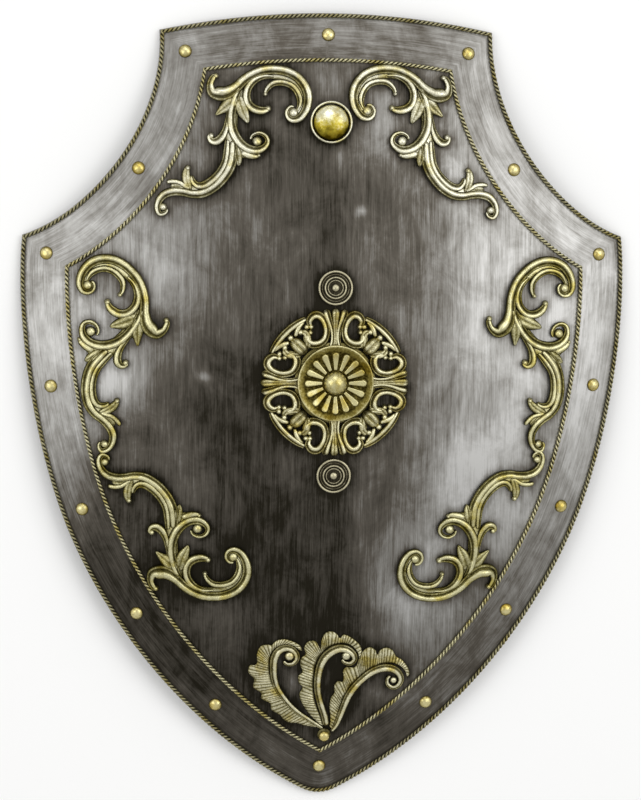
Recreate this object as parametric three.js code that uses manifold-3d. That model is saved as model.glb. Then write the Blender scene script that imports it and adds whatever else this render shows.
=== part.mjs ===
// A decorative heater shield: a domed steel sheet edged with twisted brass wire, with sixteen domed
// nails along its border and cast brass ornaments on its front. It lies on its rim, front up.
// Millimetres, +Z up, +Y towards the top edge of the shield, origin under the middle of the outline.
import * as THREE from 'three';
import { mergeVertices } from 'three/addons/utils/BufferGeometryUtils.js';
import Module from 'manifold-3d';

const wasm = await Module();
wasm.setup();

// Outline of the sheet
const shieldHeight = 662;
const topWidth = 277;
const topRise = 15;
const shoulderWidth = 503;
const shoulderDrop = 184.5;
const flankWidth = 441;
const flankDrop = 413;
const hollowStartArm = [-4, -77];
const hollowEndArm = [-54, 19];
const flankStartArm = [5.5, -51];
const flankMiddleLean = 19.3;
const flankMiddleArm = 86;
const tipArm = [108, 60];
const tipRadius = 30;

// Sheet
const domeRise = 48;
const sheetThickness = 1.2;

// Clearances between pieces that touch, and between a nail's shank and its hole
const seatGap = 0.3;
const nailHoleGap = 0.35;

// Twisted wire
const ropeDiameter = 3.7;
const borderWidth = 38;

// Nails
const nailHeadDiameter = 11;
const nailHeadHeight = 3.6;
const nailShankDiameter = 2.6;
const nailPointLength = 1.8;
const nailInset = 17.5;
const cornerNailInset = 21;
const tipNailInset = 24.5;
const flankNailShares = [0.211, 0.41, 0.597, 0.793];

// Boss under the top edge
const bossDrop = 89;
const bossShift = 1.5;
const bezelDiameter = 35.6;
const bezelBand = 2.2;
const bezelHeight = 4.2;
const bossGroove = 0.7;
const bossHeight = 9;

// Scroll castings: one design, as long as a share of the way from the boss to the inner wire's corner
const scrollFill = 1.507;
const scrollFoot = 2.2;
const scrollSwell = 0.85;

// Rosette: its drop is from the top edge, and its pattern is in hundredths of its diameter
const rosetteDrop = 302;
const rosetteShift = 5;
const rosetteDiameter = 124.5;
const rosetteFoot = 2;
const rosetteSwell = 1.2;
const collarWidth = 8;
const collarHeight = 2.6;
const collarShow = 2.4;
const dishDiameter = 63;
const dishHeight = 5.5;
const dishDepth = 3.4;
const dishLip = 6;
const petalCount = 16;
const petalRise = 1.5;
const studDiameter = 19.4;
const studHeight = 8.5;
const studMargin = 1;

// Discs above and below the rosette
const discDiameter = 29.4;
const discHeight = 2.8;
const discClearance = 1.2;

// Leaf spray: its points in hundredths of its span
const leafSetback = 14.5;
const leafShift = 3;
const leafNailHeadDiameter = 9.6;
const leafSpan = 132;
const leafFoot = 1.8;
const leafSwell = 0.75;
const leafFootDiameter = 11.4;
const bladeThickness = 1.9;

const brass = { color: 0xb5a46a, roughness: 0.42, metalness: 0.9 };
const paleGilt = { color: 0xc4bd92, roughness: 0.45, metalness: 0.9 };
const steel = { color: 0x6f6c69, roughness: 0.5, metalness: 0.9 };

const shield = new THREE.Group();

function addPiece(name, geometry, finish) {
  const mesh = new THREE.Mesh(geometry, new THREE.MeshStandardMaterial(finish));
  mesh.name = name;
  shield.add(mesh);
}

// Closed meshes and solids

// Six times the volume that the triangles close in, below zero where they face inwards
function signedVolume(positions, triangles) {
  const corner = (index) => new THREE.Vector3().fromArray(positions, 3 * index);
  let sum = 0;
  for (let i = 0; i < triangles.length; i += 3) {
    const [a, b, c] = triangles.slice(i, i + 3).map(corner);
    sum += a.dot(b.cross(c));
  }
  return sum;
}

function meshFrom(positions, triangles) {
  const geometry = new THREE.BufferGeometry();
  geometry.setAttribute('position', new THREE.Float32BufferAttribute(positions, 3));
  const facesIn = signedVolume(positions, triangles) < 0;
  geometry.setIndex(facesIn ? triangles.toReversed() : triangles);
  return geometry;
}

function solidFrom(geometry) {
  const bare = geometry.clone();
  bare.deleteAttribute('normal');
  bare.deleteAttribute('uv');
  const merged = mergeVertices(bare, 1e-4);
  return new wasm.Manifold(new wasm.Mesh({
    numProp: 3,
    vertProperties: new Float32Array(merged.attributes.position.array),
    triVerts: new Uint32Array(merged.index.array),
  }));
}

function geometryFrom(solid) {
  const mesh = solid.getMesh();
  return meshFrom(Array.from(mesh.vertProperties), Array.from(mesh.triVerts));
}

function joined(geometries) {
  return geometryFrom(geometries.map(solidFrom).reduce((sum, next) => sum.add(next)));
}

// Sections of equal point count, skinned one to the next. A closed chain runs back to its first
// section, and an open chain is capped at both ends.
function skin(sections, closedChain) {
  const count = sections[0].length;
  const positions = sections.flat().flatMap((p) => [p.x, p.y, p.z]);
  const triangles = [];
  const last = closedChain ? sections.length : sections.length - 1;
  for (let i = 0; i < last; i += 1) {
    const near = i * count;
    const far = ((i + 1) % sections.length) * count;
    for (let j = 0; j < count; j += 1) {
      const k = (j + 1) % count;
      triangles.push(near + j, near + k, far + k, near + j, far + k, far + j);
    }
  }
  if (!closedChain) {
    const end = (sections.length - 1) * count;
    for (let j = 1; j < count - 1; j += 1) {
      triangles.push(0, j + 1, j, end, end + j, end + j + 1);
    }
  }
  return meshFrom(positions, triangles);
}

// Outline of the sheet, and the same outline set in from the edge

const topY = shieldHeight / 2;
const tipY = -shieldHeight / 2;
const topCorner = new THREE.Vector2(topWidth / 2, topY - topRise);
const shoulder = new THREE.Vector2(shoulderWidth / 2, topY - shoulderDrop);
const flankMiddle = new THREE.Vector2(flankWidth / 2, topY - flankDrop);

function shifted(point, arm) {
  return new THREE.Vector2(point.x + arm[0], point.y + arm[1]);
}

const lean = THREE.MathUtils.degToRad(flankMiddleLean);
const middleArm = [flankMiddleArm * Math.sin(lean), flankMiddleArm * Math.cos(lean)];
// The tip is a short round bend between both flanks
const tipSlope = Math.atan2(tipArm[1], tipArm[0]);
const tipBendLength = tipRadius * tipSlope;

function tipBend(angle) {
  return new THREE.Vector2(tipRadius * Math.sin(angle), tipY + tipRadius * (1 - Math.cos(angle)));
}

const tipBendStart = tipBend(tipSlope);
const hollowCurve = new THREE.CubicBezierCurve(
  topCorner, shifted(topCorner, hollowStartArm), shifted(shoulder, hollowEndArm), shoulder);
const upperFlankCurve = new THREE.CubicBezierCurve(
  shoulder, shifted(shoulder, flankStartArm), shifted(flankMiddle, middleArm), flankMiddle);
const lowerFlankCurve = new THREE.CubicBezierCurve(
  flankMiddle, shifted(flankMiddle, middleArm.map((part) => -part)),
  shifted(tipBendStart, tipArm), tipBendStart);

const curveSamples = 48;
const topSide = Array.from({ length: curveSamples + 1 }, (_, i) => {
  const x = topCorner.x * i / curveSamples;
  return new THREE.Vector2(x, topY - topRise * (x / topCorner.x) ** 2);
});
const hollowSide = hollowCurve.getPoints(curveSamples);
const flankSide = [
  ...upperFlankCurve.getPoints(curveSamples),
  ...lowerFlankCurve.getPoints(curveSamples).slice(1),
  ...[0.75, 0.5, 0.25, 0].map((share) => tipBend(share * tipSlope)),
];

// One side moved inwards by the inset, and run on a little past both of its ends
function insetSide(side, inset) {
  const runOn = 1;
  const moved = side.map((point, i) => {
    const before = side[Math.max(i - 1, 0)];
    const after = side[Math.min(i + 1, side.length - 1)];
    const along = after.clone().sub(before).normalize();
    return new THREE.Vector2(point.x + along.y * inset, point.y - along.x * inset);
  });
  const head = moved[0].clone().sub(moved[1]).setLength(runOn).add(moved[0]);
  const foot = moved.at(-1).clone().sub(moved.at(-2)).setLength(runOn).add(moved.at(-1));
  return [head, ...moved, foot];
}

// Both sides cut back to where they first cross
function mitred(first, second) {
  for (let i = first.length - 2; i >= 0; i -= 1) {
    for (let j = 0; j < second.length - 1; j += 1) {
      const a = first[i];
      const u = first[i + 1].clone().sub(a);
      const c = second[j];
      const v = second[j + 1].clone().sub(c);
      const w = c.clone().sub(a);
      const bend = u.cross(v);
      const s = w.cross(v) / bend;
      const t = w.cross(u) / bend;
      if (s >= 0 && s <= 1 && t >= 0 && t <= 1) {
        const corner = a.clone().addScaledVector(u, s);
        return [[...first.slice(0, i + 1), corner], [corner, ...second.slice(j + 1)]];
      }
    }
  }
  return [first, second];
}

// The points at the named shares of the line's length, less what is left over at its end
function spaced(points, shares, left = 0) {
  const lengths = [0];
  for (let i = 1; i < points.length; i += 1) {
    lengths.push(lengths[i - 1] + points[i].distanceTo(points[i - 1]));
  }
  return shares.map((spot) => {
    const target = (lengths.at(-1) - left) * spot;
    const i = Math.max(1, lengths.findIndex((length) => length >= target - 1e-9));
    const share = (target - lengths[i - 1]) / (lengths[i] - lengths[i - 1]);
    return points[i - 1].clone().lerp(points[i], share);
  });
}

function evenly(points, steps, left = 0) {
  return spaced(points, Array.from({ length: steps + 1 }, (_, n) => n / steps), left);
}

const topSteps = 4;
const hollowSteps = 6;
const flankSteps = 14;

function insetHalf(inset) {
  const axis = [new THREE.Vector2(0, topY), new THREE.Vector2(0, 2 * tipY)];
  const [top, afterTop] = mitred(insetSide(topSide, inset).slice(1), insetSide(hollowSide, inset));
  const [hollow, afterHollow] = mitred(afterTop, insetSide(flankSide, inset));
  const [flank] = mitred(afterHollow, axis);
  return { top, hollow, flank };
}

// The whole loop, clockwise from the middle of the top edge
function insetLoop(inset) {
  const { top, hollow, flank } = insetHalf(inset);
  const right = [
    ...evenly(top, topSteps),
    ...evenly(hollow, hollowSteps).slice(1),
    ...evenly(flank, flankSteps, tipBendLength).slice(1),
    flank.at(-1),
  ];
  const left = right.slice(1, -1).reverse().map((point) => new THREE.Vector2(-point.x, point.y));
  return [...right, ...left];
}

// Dome of the sheet: the one upright paraboloid of the named rise whose rim touches the ground at
// both top corners, both shoulders and the tip

const cornerShare = (topCorner.x / shoulder.x) ** 2;
const domeY = (topCorner.y ** 2 - cornerShare * shoulder.y ** 2 - (1 - cornerShare) * tipY ** 2)
  / (2 * (topCorner.y - cornerShare * shoulder.y - (1 - cornerShare) * tipY));
const domeAlong = domeRise / (tipY - domeY) ** 2;
const domeAcross = (domeRise - domeAlong * (shoulder.y - domeY) ** 2) / shoulder.x ** 2;

function backHeight(x, y) {
  return domeRise - domeAcross * x * x - domeAlong * (y - domeY) ** 2;
}

function frontHeight(x, y) {
  return backHeight(x, y) + sheetThickness;
}

const seatHeight = (x, y) => frontHeight(x, y) + seatGap;

// Nail places: on the border's middle line, and one at the foot of the leaf spray

function loopCorners(inset) {
  const { top, hollow, flank } = insetHalf(inset);
  return { top: top.at(-1), shoulder: hollow.at(-1), tip: flank.at(-1) };
}

const nailLine = insetHalf(nailInset);
const nailCorners = loopCorners(cornerNailInset);
const rightNails = [
  nailCorners.top,
  evenly(nailLine.hollow, 2)[1],
  nailCorners.shoulder,
  ...spaced(nailLine.flank, flankNailShares),
];
const borderNails = [
  ...rightNails,
  loopCorners(tipNailInset).tip,
  ...rightNails.toReversed().map((point) => new THREE.Vector2(-point.x, point.y)),
  new THREE.Vector2(0, topY - nailInset),
];
const innerCorners = loopCorners(borderWidth);
const leafNailPlace = new THREE.Vector2(leafShift, innerCorners.tip.y + leafSetback);

// A lathe-turned piece stood on the sheet's front at a place, square to the dome
const upAxis = new THREE.Vector3(0, 0, 1);

function seated(geometry, place, lift) {
  const slope = new THREE.Vector3(
    2 * domeAcross * place.x, 2 * domeAlong * (place.y - domeY), 1).normalize();
  geometry.applyQuaternion(new THREE.Quaternion().setFromUnitVectors(upAxis, slope));
  const foot = new THREE.Vector3(place.x, place.y, frontHeight(place.x, place.y));
  foot.addScaledVector(slope, lift);
  return geometry.translate(foot.x, foot.y, foot.z);
}

function turned(profile, sides) {
  const points = profile.map(([radius, height]) => new THREE.Vector2(radius, height));
  return new THREE.LatheGeometry(points, sides).rotateX(Math.PI / 2);
}

// Shield plate: front and back skins ringed from the edge to the crown, with a hole for every nail

const crownShares = [0.62, 0.3];
const nailSides = 8;
const holeSides = 4;

function plateSkin() {
  const edge = insetLoop(0);
  const border = insetLoop(borderWidth);
  const crown = new THREE.Vector2(0, domeY);
  const rings = [edge, border, ...crownShares.map(
    (share) => border.map((point) => crown.clone().lerp(point, share)))];
  const count = edge.length;
  const onFace = (height) => rings.flat().concat(crown).flatMap((p) => [p.x, p.y, height(p.x, p.y)]);
  const positions = [...onFace(frontHeight), ...onFace(backHeight)];
  const centre = rings.length * count;
  const back = centre + 1;
  const triangles = [];
  for (let j = 0; j < count; j += 1) {
    const k = (j + 1) % count;
    for (let ring = 0; ring < rings.length; ring += 1) {
      const a = ring * count + j;
      const b = ring * count + k;
      const inner = ring + 1 < rings.length ? [a + count, b + count] : [centre];
      const c = inner[0];
      triangles.push(a, b, c, back + b, back + a, back + c);
      if (inner.length > 1) {
        triangles.push(b, inner[1], c, back + inner[1], back + b, back + c);
      }
    }
    triangles.push(k, j, back + j, k, back + j, back + k);
  }
  return meshFrom(positions, triangles);
}

// What a nail's hole takes out: a square punch whose flats clear the shank
function holePin(length) {
  const radius = (nailShankDiameter / 2 + nailHoleGap) / Math.cos(Math.PI / holeSides);
  return new THREE.CylinderGeometry(radius, radius, length, holeSides).rotateX(Math.PI / 2);
}

function shieldPlate() {
  const holes = [...borderNails, leafNailPlace].map(
    (place) => solidFrom(seated(holePin(8 * sheetThickness), place, 0)));
  return geometryFrom(holes.reduce((plate, hole) => plate.subtract(hole), solidFrom(plateSkin())));
}

addPiece('shield_plate', shieldPlate(), steel);

// Twisted wire: a closed tube laid on the front along the outline set in by the wire's own place

const ropeSides = 4;
const ropeRadius = ropeDiameter / 2;

function ropeAlong(inset) {
  const loop = insetLoop(inset);
  const centre = loop.map((p) => new THREE.Vector3(p.x, p.y, seatHeight(p.x, p.y) + ropeRadius));
  const sections = centre.map((point, i) => {
    const into = point.clone().sub(centre.at(i - 1)).normalize();
    const outOf = centre[(i + 1) % centre.length].clone().sub(point).normalize();
    const across = into.clone().add(outOf).cross(upAxis).normalize();
    const spread = 1 / Math.cos(into.angleTo(outOf) / 2);
    return Array.from({ length: ropeSides }, (_, side) => {
      const turn = 2 * Math.PI * side / ropeSides - Math.PI / 2;
      const out = ropeRadius * spread * Math.cos(turn);
      return point.clone().addScaledVector(across, out).setZ(point.z + ropeRadius * Math.sin(turn));
    });
  });
  return skin(sections, true);
}

addPiece('edge_rope', ropeAlong(ropeRadius), brass);
addPiece('inner_rope', ropeAlong(borderWidth), brass);

// Nails: a domed head on the front, and a tapered shank whose point comes out behind the sheet

function nail(place, headDiameter, lift) {
  const head = headDiameter / 2;
  const point = -lift - sheetThickness - nailPointLength;
  const profile = [
    [0, point],
    [nailShankDiameter / 2, 0],
    [head, 0],
    [0.62 * head, 0.76 * nailHeadHeight],
    [0, nailHeadHeight],
  ];
  return seated(turned(profile, nailSides), place, lift);
}

borderNails.forEach((place, i) => {
  addPiece(`border_nail_${String(i + 1).padStart(2, '0')}`, nail(place, nailHeadDiameter, seatGap), brass);
});

// Carved strokes: a bar along a drawn line of points (place and half width, in shares of a unit),
// with two sloped flanks that meet in a ridge, a flat back and a height that swells with its width

const turnStep = THREE.MathUtils.degToRad(48);
const longestStep = 24;

function stations(points, unit) {
  const curve = new THREE.CatmullRomCurve3(
    points.map(([x, y, half]) => new THREE.Vector3(x, y, half).multiplyScalar(unit)));
  const fine = curve.getPoints(points.length * 12);
  const picked = [fine[0]];
  let turn = 0;
  let run = 0;
  for (let i = 1; i < fine.length - 1; i += 1) {
    const into = new THREE.Vector2().subVectors(fine[i], fine[i - 1]);
    const outOf = new THREE.Vector2().subVectors(fine[i + 1], fine[i]);
    turn += Math.abs(Math.atan2(into.cross(outOf), into.dot(outOf)));
    run += into.length() / unit;
    if (turn > turnStep || run > longestStep) {
      picked.push(fine[i]);
      turn = 0;
      run = 0;
    }
  }
  return [...picked, fine.at(-1)];
}

function across(line, i) {
  const before = line[Math.max(i - 1, 0)];
  const after = line[Math.min(i + 1, line.length - 1)];
  return new THREE.Vector3(before.y - after.y, after.x - before.x, 0).normalize();
}

function stroke(points, unit, foot, swell) {
  const line = stations(points, unit);
  return skin(line.map((point, i) => {
    const side = across(line, i);
    const half = point.z;
    const corner = (out, height) => new THREE.Vector3(point.x, point.y, height).addScaledVector(side, out);
    const top = foot + swell * half;
    return [corner(half, 0), corner(0, top), corner(-half, 0)];
  }), false);
}

const beadSides = 6;

function bead([x, y, radius], unit, height) {
  const profile = [[0, 0], [radius * unit, 0], [0.75 * radius * unit, 0.75 * height], [0, height]];
  return turned(profile, beadSides).translate(x * unit, y * unit, 0);
}

// A flat-backed carving laid on the sheet: turned, placed and bent to the dome
function laid(geometry, place, turnDegrees, mirrored) {
  const turn = THREE.MathUtils.degToRad(turnDegrees);
  const point = new THREE.Vector2();
  const spots = geometry.attributes.position;
  const positions = [];
  for (let i = 0; i < spots.count; i += 1) {
    point.set(mirrored ? -spots.getX(i) : spots.getX(i), spots.getY(i));
    point.rotateAround(new THREE.Vector2(), turn).add(place);
    positions.push(point.x, point.y, seatHeight(point.x, point.y) + spots.getZ(i));
  }
  return meshFrom(positions, Array.from(geometry.index.array));
}

// Scroll casting, as it sits in the top left corner of the field, in hundredths of its length. The
// crest runs from the corner curl over the top into its volute, and the trunk comes down from it to
// a second volute and a stem whose tail ends in a third.
const scrollStrokes = {
  crest: [[-5, 39, 1], [-10, 36, 2.4], [-9, 29.5, 3.4], [-3, 27.3, 4], [4, 31.5, 3.7], [15, 39.5, 3.1],
    [25, 43.4, 2.8], [34, 43.4, 2.8], [43, 39, 2.9], [50, 31.5, 3.1], [52.5, 22.5, 3], [50, 14.5, 2.8],
    [43.5, 10.8, 2.3], [38.7, 13.5, 1.8], [39, 18, 1.4]],
  innerCrook: [[34, 41, 0.8], [26, 40, 1.8], [17, 35, 2.6], [13, 27, 2.8], [15, 20.5, 3], [20.5, 17.2, 3],
    [26.5, 18, 2]],
  innerPlume: [[24.6, 26, 0.4], [27, 31.5, 1.5], [33, 35.1, 2.3], [41, 33.3, 2.3], [46.5, 27.5, 2],
    [47, 19, 1.4]],
  trunk: [[9.5, 29.5, 1.8], [4.8, 20.5, 2.8], [3.3, 10, 2.7], [5.5, 0.8, 3], [13, -7.2, 3.2],
    [20.5, -8.8, 2.8], [25.5, -4.5, 2.1], [23.5, 1.4, 1.9], [17.5, 1.4, 1.6]],
  leftCurl: [[1.5, 16, 0.8], [0.2, 6.5, 2], [-4.3, -1.5, 2.2], [-10, -1.2, 1.7], [-10.6, 1.8, 1.5]],
  stem: [[5, -1.5, 2.2], [3.4, -14.5, 3.2], [-1, -26, 3.2], [-10, -34.5, 3.2], [-19.5, -36.7, 2.8],
    [-30, -33.9, 2.2], [-38.5, -35.5, 2], [-44, -42, 1.9], [-42.5, -48.6, 1.6], [-37.8, -46.5, 1]],
  hook: [[-0.3, -0.6, 1.8], [-1, -13, 2.2], [-6.5, -25, 2.2], [-14.5, -31, 2.3], [-21.5, -29.3, 2],
    [-23.4, -23.8, 1.4]],
  hookLeaf: [[-24.7, -34, 1.6], [-26.6, -27.5, 2.4], [-24.2, -18.8, 0.5]],
  leftLeaf: [[6.5, 25.5, 2.2], [-1.5, 17.3, 2.4], [-7, 13.7, 0.4]],
  rightLeaf: [[7.5, 25.5, 2], [11, 16.5, 2.6], [14.6, 9.4, 0.4]],
  stemLeaf: [[4, -4, 2.2], [6, -12.5, 2.6], [8.1, -17.8, 0.4]],
};
const scrollBeads = [[42.8, 16.2, 3], [18.6, -2.8, 3], [-41, -44.4, 2.8]];
const bezelRadius = bezelDiameter / 2;
const scrollUnit = scrollFill * (innerCorners.top.x - bezelRadius) / 100;
const beadHeight = scrollFoot + 3.6 * scrollSwell * scrollUnit;

const scrollCasting = joined([
  ...Object.values(scrollStrokes).map((points) => stroke(points, scrollUnit, scrollFoot, scrollSwell)),
  ...scrollBeads.map((spot) => bead(spot, scrollUnit, beadHeight)),
]);

// The upper castings sit in from and under the inner wire's top corners: name, way in, way up, turn
// and whether it is mirrored. The places of all six are in hundredths of the casting's length, and
// were set by hand, so the two sides differ a little.
const upperSeats = [
  ['scroll_top_left', 14.6, -44.1, 0.5, false],
  ['scroll_top_right', 13.8, -44.1, -2.5, true],
];

// The others stand beside the inner wire's flank: name, drop below its shoulder corner, way in from
// the wire, turn from the wire's own run and whether it is mirrored
const flankSeats = [
  ['scroll_side_left', 57.8, 26.2, -55.5, true],
  ['scroll_side_right', 58.6, 26.2, 52.5, false],
  ['scroll_lower_left', 185.4, 30.4, 152.1, true],
  ['scroll_lower_right', 187, 31.8, -150.1, false],
];

const innerFlank = insetHalf(borderWidth).flank;

// The right flank's point at a drop below its corner, the way in and the run's turn from straight down
function flankAt(drop) {
  const level = innerCorners.shoulder.y - drop;
  const i = innerFlank.findIndex((point) => point.y <= level);
  const [above, below] = [innerFlank[i - 1], innerFlank[i]];
  const spot = above.clone().lerp(below, (above.y - level) / (above.y - below.y));
  const run = below.clone().sub(above).normalize();
  const turn = THREE.MathUtils.radToDeg(Math.atan2(run.x, -run.y));
  return { spot, inward: new THREE.Vector2(run.y, -run.x), turn };
}

function addScroll(name, rightPlace, turn, mirrored) {
  const side = name.endsWith('left') ? -1 : 1;
  const place = new THREE.Vector2(side * rightPlace.x, rightPlace.y);
  addPiece(name, laid(scrollCasting, place, turn(side), mirrored), paleGilt);
}

upperSeats.forEach(([name, wayIn, wayUp, ownTurn, mirrored]) => {
  const offset = new THREE.Vector2(-wayIn, wayUp).multiplyScalar(scrollUnit);
  addScroll(name, offset.add(innerCorners.top), () => ownTurn, mirrored);
});
flankSeats.forEach(([name, drop, wayIn, ownTurn, mirrored]) => {
  const { spot, inward, turn } = flankAt(drop * scrollUnit);
  const place = spot.addScaledVector(inward, wayIn * scrollUnit);
  addScroll(name, place, (side) => side * turn + ownTurn, mirrored);
});

// Boss: a ringed bezel with a domed button in it

const bossPlace = new THREE.Vector2(bossShift, topY - bossDrop);
const roundSides = 14;
const bezelHole = bezelRadius - bezelBand;
const bossRadius = bezelHole - bossGroove;

const bezelProfile = [
  [bezelHole, 0],
  [bezelRadius, 0],
  [bezelRadius, 0.45 * bezelHeight],
  [bezelRadius - bezelBand / 2, bezelHeight],
  [bezelHole, 0.6 * bezelHeight],
  [bezelHole, 0],
];
addPiece('boss_bezel', seated(turned(bezelProfile, roundSides), bossPlace, seatGap), paleGilt);

const bossProfile = [
  [0, 0],
  [bossRadius, 0],
  [bossRadius, 0.15 * bossHeight],
  [0.8 * bossRadius, 0.62 * bossHeight],
  [0.45 * bossRadius, 0.9 * bossHeight],
  [0, bossHeight],
];
addPiece('boss_dome', seated(turned(bossProfile, roundSides), bossPlace, seatGap), brass);

// Rosette: a pierced ring of scrolls, fans and arcs round a collar, with a fluted dish on the
// collar and a stud in the dish

const rosettePlace = new THREE.Vector2(rosetteShift, topY - rosetteDrop);
const rosetteUnit = rosetteDiameter / 100;
const dishRadius = dishDiameter / 2;

function turnedAbout(points, degrees, mirrored) {
  const turn = THREE.MathUtils.degToRad(degrees);
  return points.map(([x, y, half]) => {
    const spot = new THREE.Vector2(mirrored ? -x : x, y).rotateAround(new THREE.Vector2(), turn);
    return [spot.x, spot.y, half];
  });
}

// A scroll beside each fan: an ellipse left open towards the diagonal, with thin ends
const ringScroll = Array.from({ length: 9 }, (_, i) => {
  const angle = THREE.MathUtils.degToRad(155 - 310 * i / 8);
  return [-11.9 + 6.6 * Math.cos(angle), 35.4 + 9.8 * Math.sin(angle), i % 8 === 0 ? 1.5 : 2.1];
});
const fanMiddle = [[0, 26, 1.6], [0, 37, 1.4], [0, 49.5, 2.2]];
const fanSide = [[2.9, 26, 1.5], [2.2, 36, 1.4], [3.8, 44, 2], [6.4, 48.4, 2.4]];
const ringArc = Array.from({ length: 4 }, (_, i) => {
  const angle = THREE.MathUtils.degToRad(112 + 46 * i / 3);
  return [48 * Math.cos(angle), 48 * Math.sin(angle), 1.5];
});
const ringBud = turnedAbout([[0, 26.5, 2.2], [0, 36, 3.8], [0, 47.5, 2.2]], 45);

function collar() {
  const outer = dishRadius + collarShow;
  const inner = outer - collarWidth;
  const profile = [[inner, 0], [outer, 0], [outer, collarHeight], [inner, collarHeight], [inner, 0]];
  return turned(profile, roundSides);
}

function rosetteRing() {
  const bars = [0, 90, 180, 270].flatMap((quarter) => [
    turnedAbout(ringScroll, quarter, false),
    turnedAbout(ringScroll, quarter, true),
    turnedAbout(fanMiddle, quarter, false),
    turnedAbout(fanSide, quarter, false),
    turnedAbout(fanSide, quarter, true),
    turnedAbout(ringArc, quarter, false),
    turnedAbout(ringBud, quarter, false),
  ]);
  return joined([
    collar(),
    ...bars.map((points) => stroke(points, rosetteUnit, rosetteFoot, rosetteSwell)),
  ]);
}

addPiece('rosette_ring', laid(rosetteRing(), rosettePlace, 0, false), paleGilt);

// The dish: rings of points from the middle of its back round the lip to the middle of its floor,
// raised and lowered by turns where the petals are
function fluted() {
  const floor = dishHeight - dishDepth;
  const petalEnd = dishRadius - dishLip;
  const petalRoot = studDiameter / 2 + studMargin;
  const rings = [
    [dishRadius - 1.2, 0, 0],
    [dishRadius, 0.7 * dishHeight, 0],
    [dishRadius - 1.5, dishHeight, 0],
    [petalEnd, floor + 1, petalRise],
    [petalRoot, floor, petalRise],
    [petalRoot - 0.5, floor, 0],
  ];
  const count = 2 * petalCount;
  const positions = rings.flatMap(([radius, height, rise]) => Array.from({ length: count }, (_, j) => {
    const angle = Math.PI * j / petalCount;
    return [radius * Math.cos(angle), radius * Math.sin(angle), height + (j % 2) * rise];
  })).flat();
  positions.push(0, 0, 0, 0, 0, floor);
  const backMiddle = rings.length * count;
  const triangles = [];
  for (let j = 0; j < count; j += 1) {
    const k = (j + 1) % count;
    triangles.push(backMiddle, k, j);
    for (let ring = 0; ring + 1 < rings.length; ring += 1) {
      const a = ring * count;
      const b = a + count;
      triangles.push(a + j, a + k, b + k, a + j, b + k, b + j);
    }
    const floorRing = (rings.length - 1) * count;
    triangles.push(floorRing + j, floorRing + k, backMiddle + 1);
  }
  return meshFrom(positions, triangles);
}

const dishSeat = seatGap + collarHeight + seatGap;
addPiece('rosette_dish', seated(fluted(), rosettePlace, dishSeat), brass);

const studRadius = studDiameter / 2;
const studProfile = [
  [0, 0],
  [studRadius, 0],
  [0.82 * studRadius, 0.62 * studHeight],
  [0.4 * studRadius, 0.94 * studHeight],
  [0, studHeight],
];
const studSeat = dishSeat + dishHeight - dishDepth + seatGap;
addPiece('rosette_stud', seated(turned(studProfile, 12), rosettePlace, studSeat), brass);

// Discs of concentric rings, one clear of the rosette's top fan and one clear of its bottom fan

const discRadius = discDiameter / 2;
const discProfile = [
  [0, 0],
  [discRadius, 0],
  [discRadius, 0.6 * discHeight],
  [0.93 * discRadius, discHeight],
  [0.78 * discRadius, 0.4 * discHeight],
  [0.54 * discRadius, 0.9 * discHeight],
  [0.4 * discRadius, 0.4 * discHeight],
  [0.2 * discRadius, 1.15 * discHeight],
  [0, 1.25 * discHeight],
];

function targetDisc(name, direction) {
  const reach = rosetteDiameter / 2 + discClearance + discRadius;
  const place = new THREE.Vector2(rosettePlace.x, rosettePlace.y + direction * reach);
  addPiece(name, seated(turned(discProfile, 12), place, seatGap), paleGilt);
}

targetDisc('target_disc_upper', 1);
targetDisc('target_disc_lower', -1);

// Leaf spray: three plumes that spring from one foot under the leaf nail. Each has a bare stem that
// curls over to the right into a volute, and a lobed blade along the stem's left side.

const leafUnit = leafSpan / 100;
const plumes = [
  {
    stem: [[-0.7, 4, 1.2], [-10.5, 11.9, 1.6], [-24.5, 25.9, 2], [-32.9, 42, 2.2], [-31.5, 50.4, 2.2],
      [-21.5, 56, 2], [-16.2, 50.5, 1.7], [-21, 46.3, 1.5], [-25, 50, 1.2]],
    bead: [-22.8, 51.4, 3],
  },
  {
    stem: [[0, 4, 1.5], [0, 11.2, 1.8], [-4.5, 28, 2.3], [-3.5, 45.5, 2.4], [5, 57, 2.4], [15.5, 58.3, 2.2],
      [20.6, 50.5, 1.8], [15.5, 46.4, 1.5], [11, 50.3, 1.2]],
    bead: [13, 52, 3],
  },
  {
    stem: [[1.5, 4, 1.2], [8.4, 10, 1.6], [14, 25.9, 2], [24, 40, 2.1], [38, 46.3, 2.1], [48.6, 42, 2],
      [49, 33.8, 1.8], [42, 32, 1.5], [40.2, 37.2, 1.2]],
    bead: [42.8, 37.8, 3],
  },
];
const bladeWidths = [[0, 1.5], [0.2, 9], [0.45, 12.5], [0.7, 12], [0.88, 8], [1, 2.5]];
const lobeCount = 6;
const lobeNotch = 0.3;

function between(table, share) {
  const i = Math.max(1, table.findIndex(([end]) => end >= share));
  const [start, from] = table[i - 1];
  const [end, to] = table[i];
  return from + (to - from) * (share - start) / (end - start);
}

// The blade: a flat strip from the stem's line out to an edge that steps in between its lobes
function blade(stem) {
  const curve = new THREE.CatmullRomCurve3(stem.slice(0, 6).map(([x, y]) => new THREE.Vector3(x, y, 0)));
  const line = curve.getPoints(2 * lobeCount);
  return skin(line.map((point, i) => {
    const notch = i % 2 ? 0 : lobeNotch;
    const width = between(bladeWidths, i / (2 * lobeCount)) * (1 - notch);
    const edge = point.clone().addScaledVector(across(line, i), width);
    const [from, to] = [point, edge].map((spot) => spot.clone().multiplyScalar(leafUnit));
    return [from, to, to.clone().setZ(0.6 * bladeThickness), from.clone().setZ(bladeThickness)];
  }), false);
}

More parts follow.
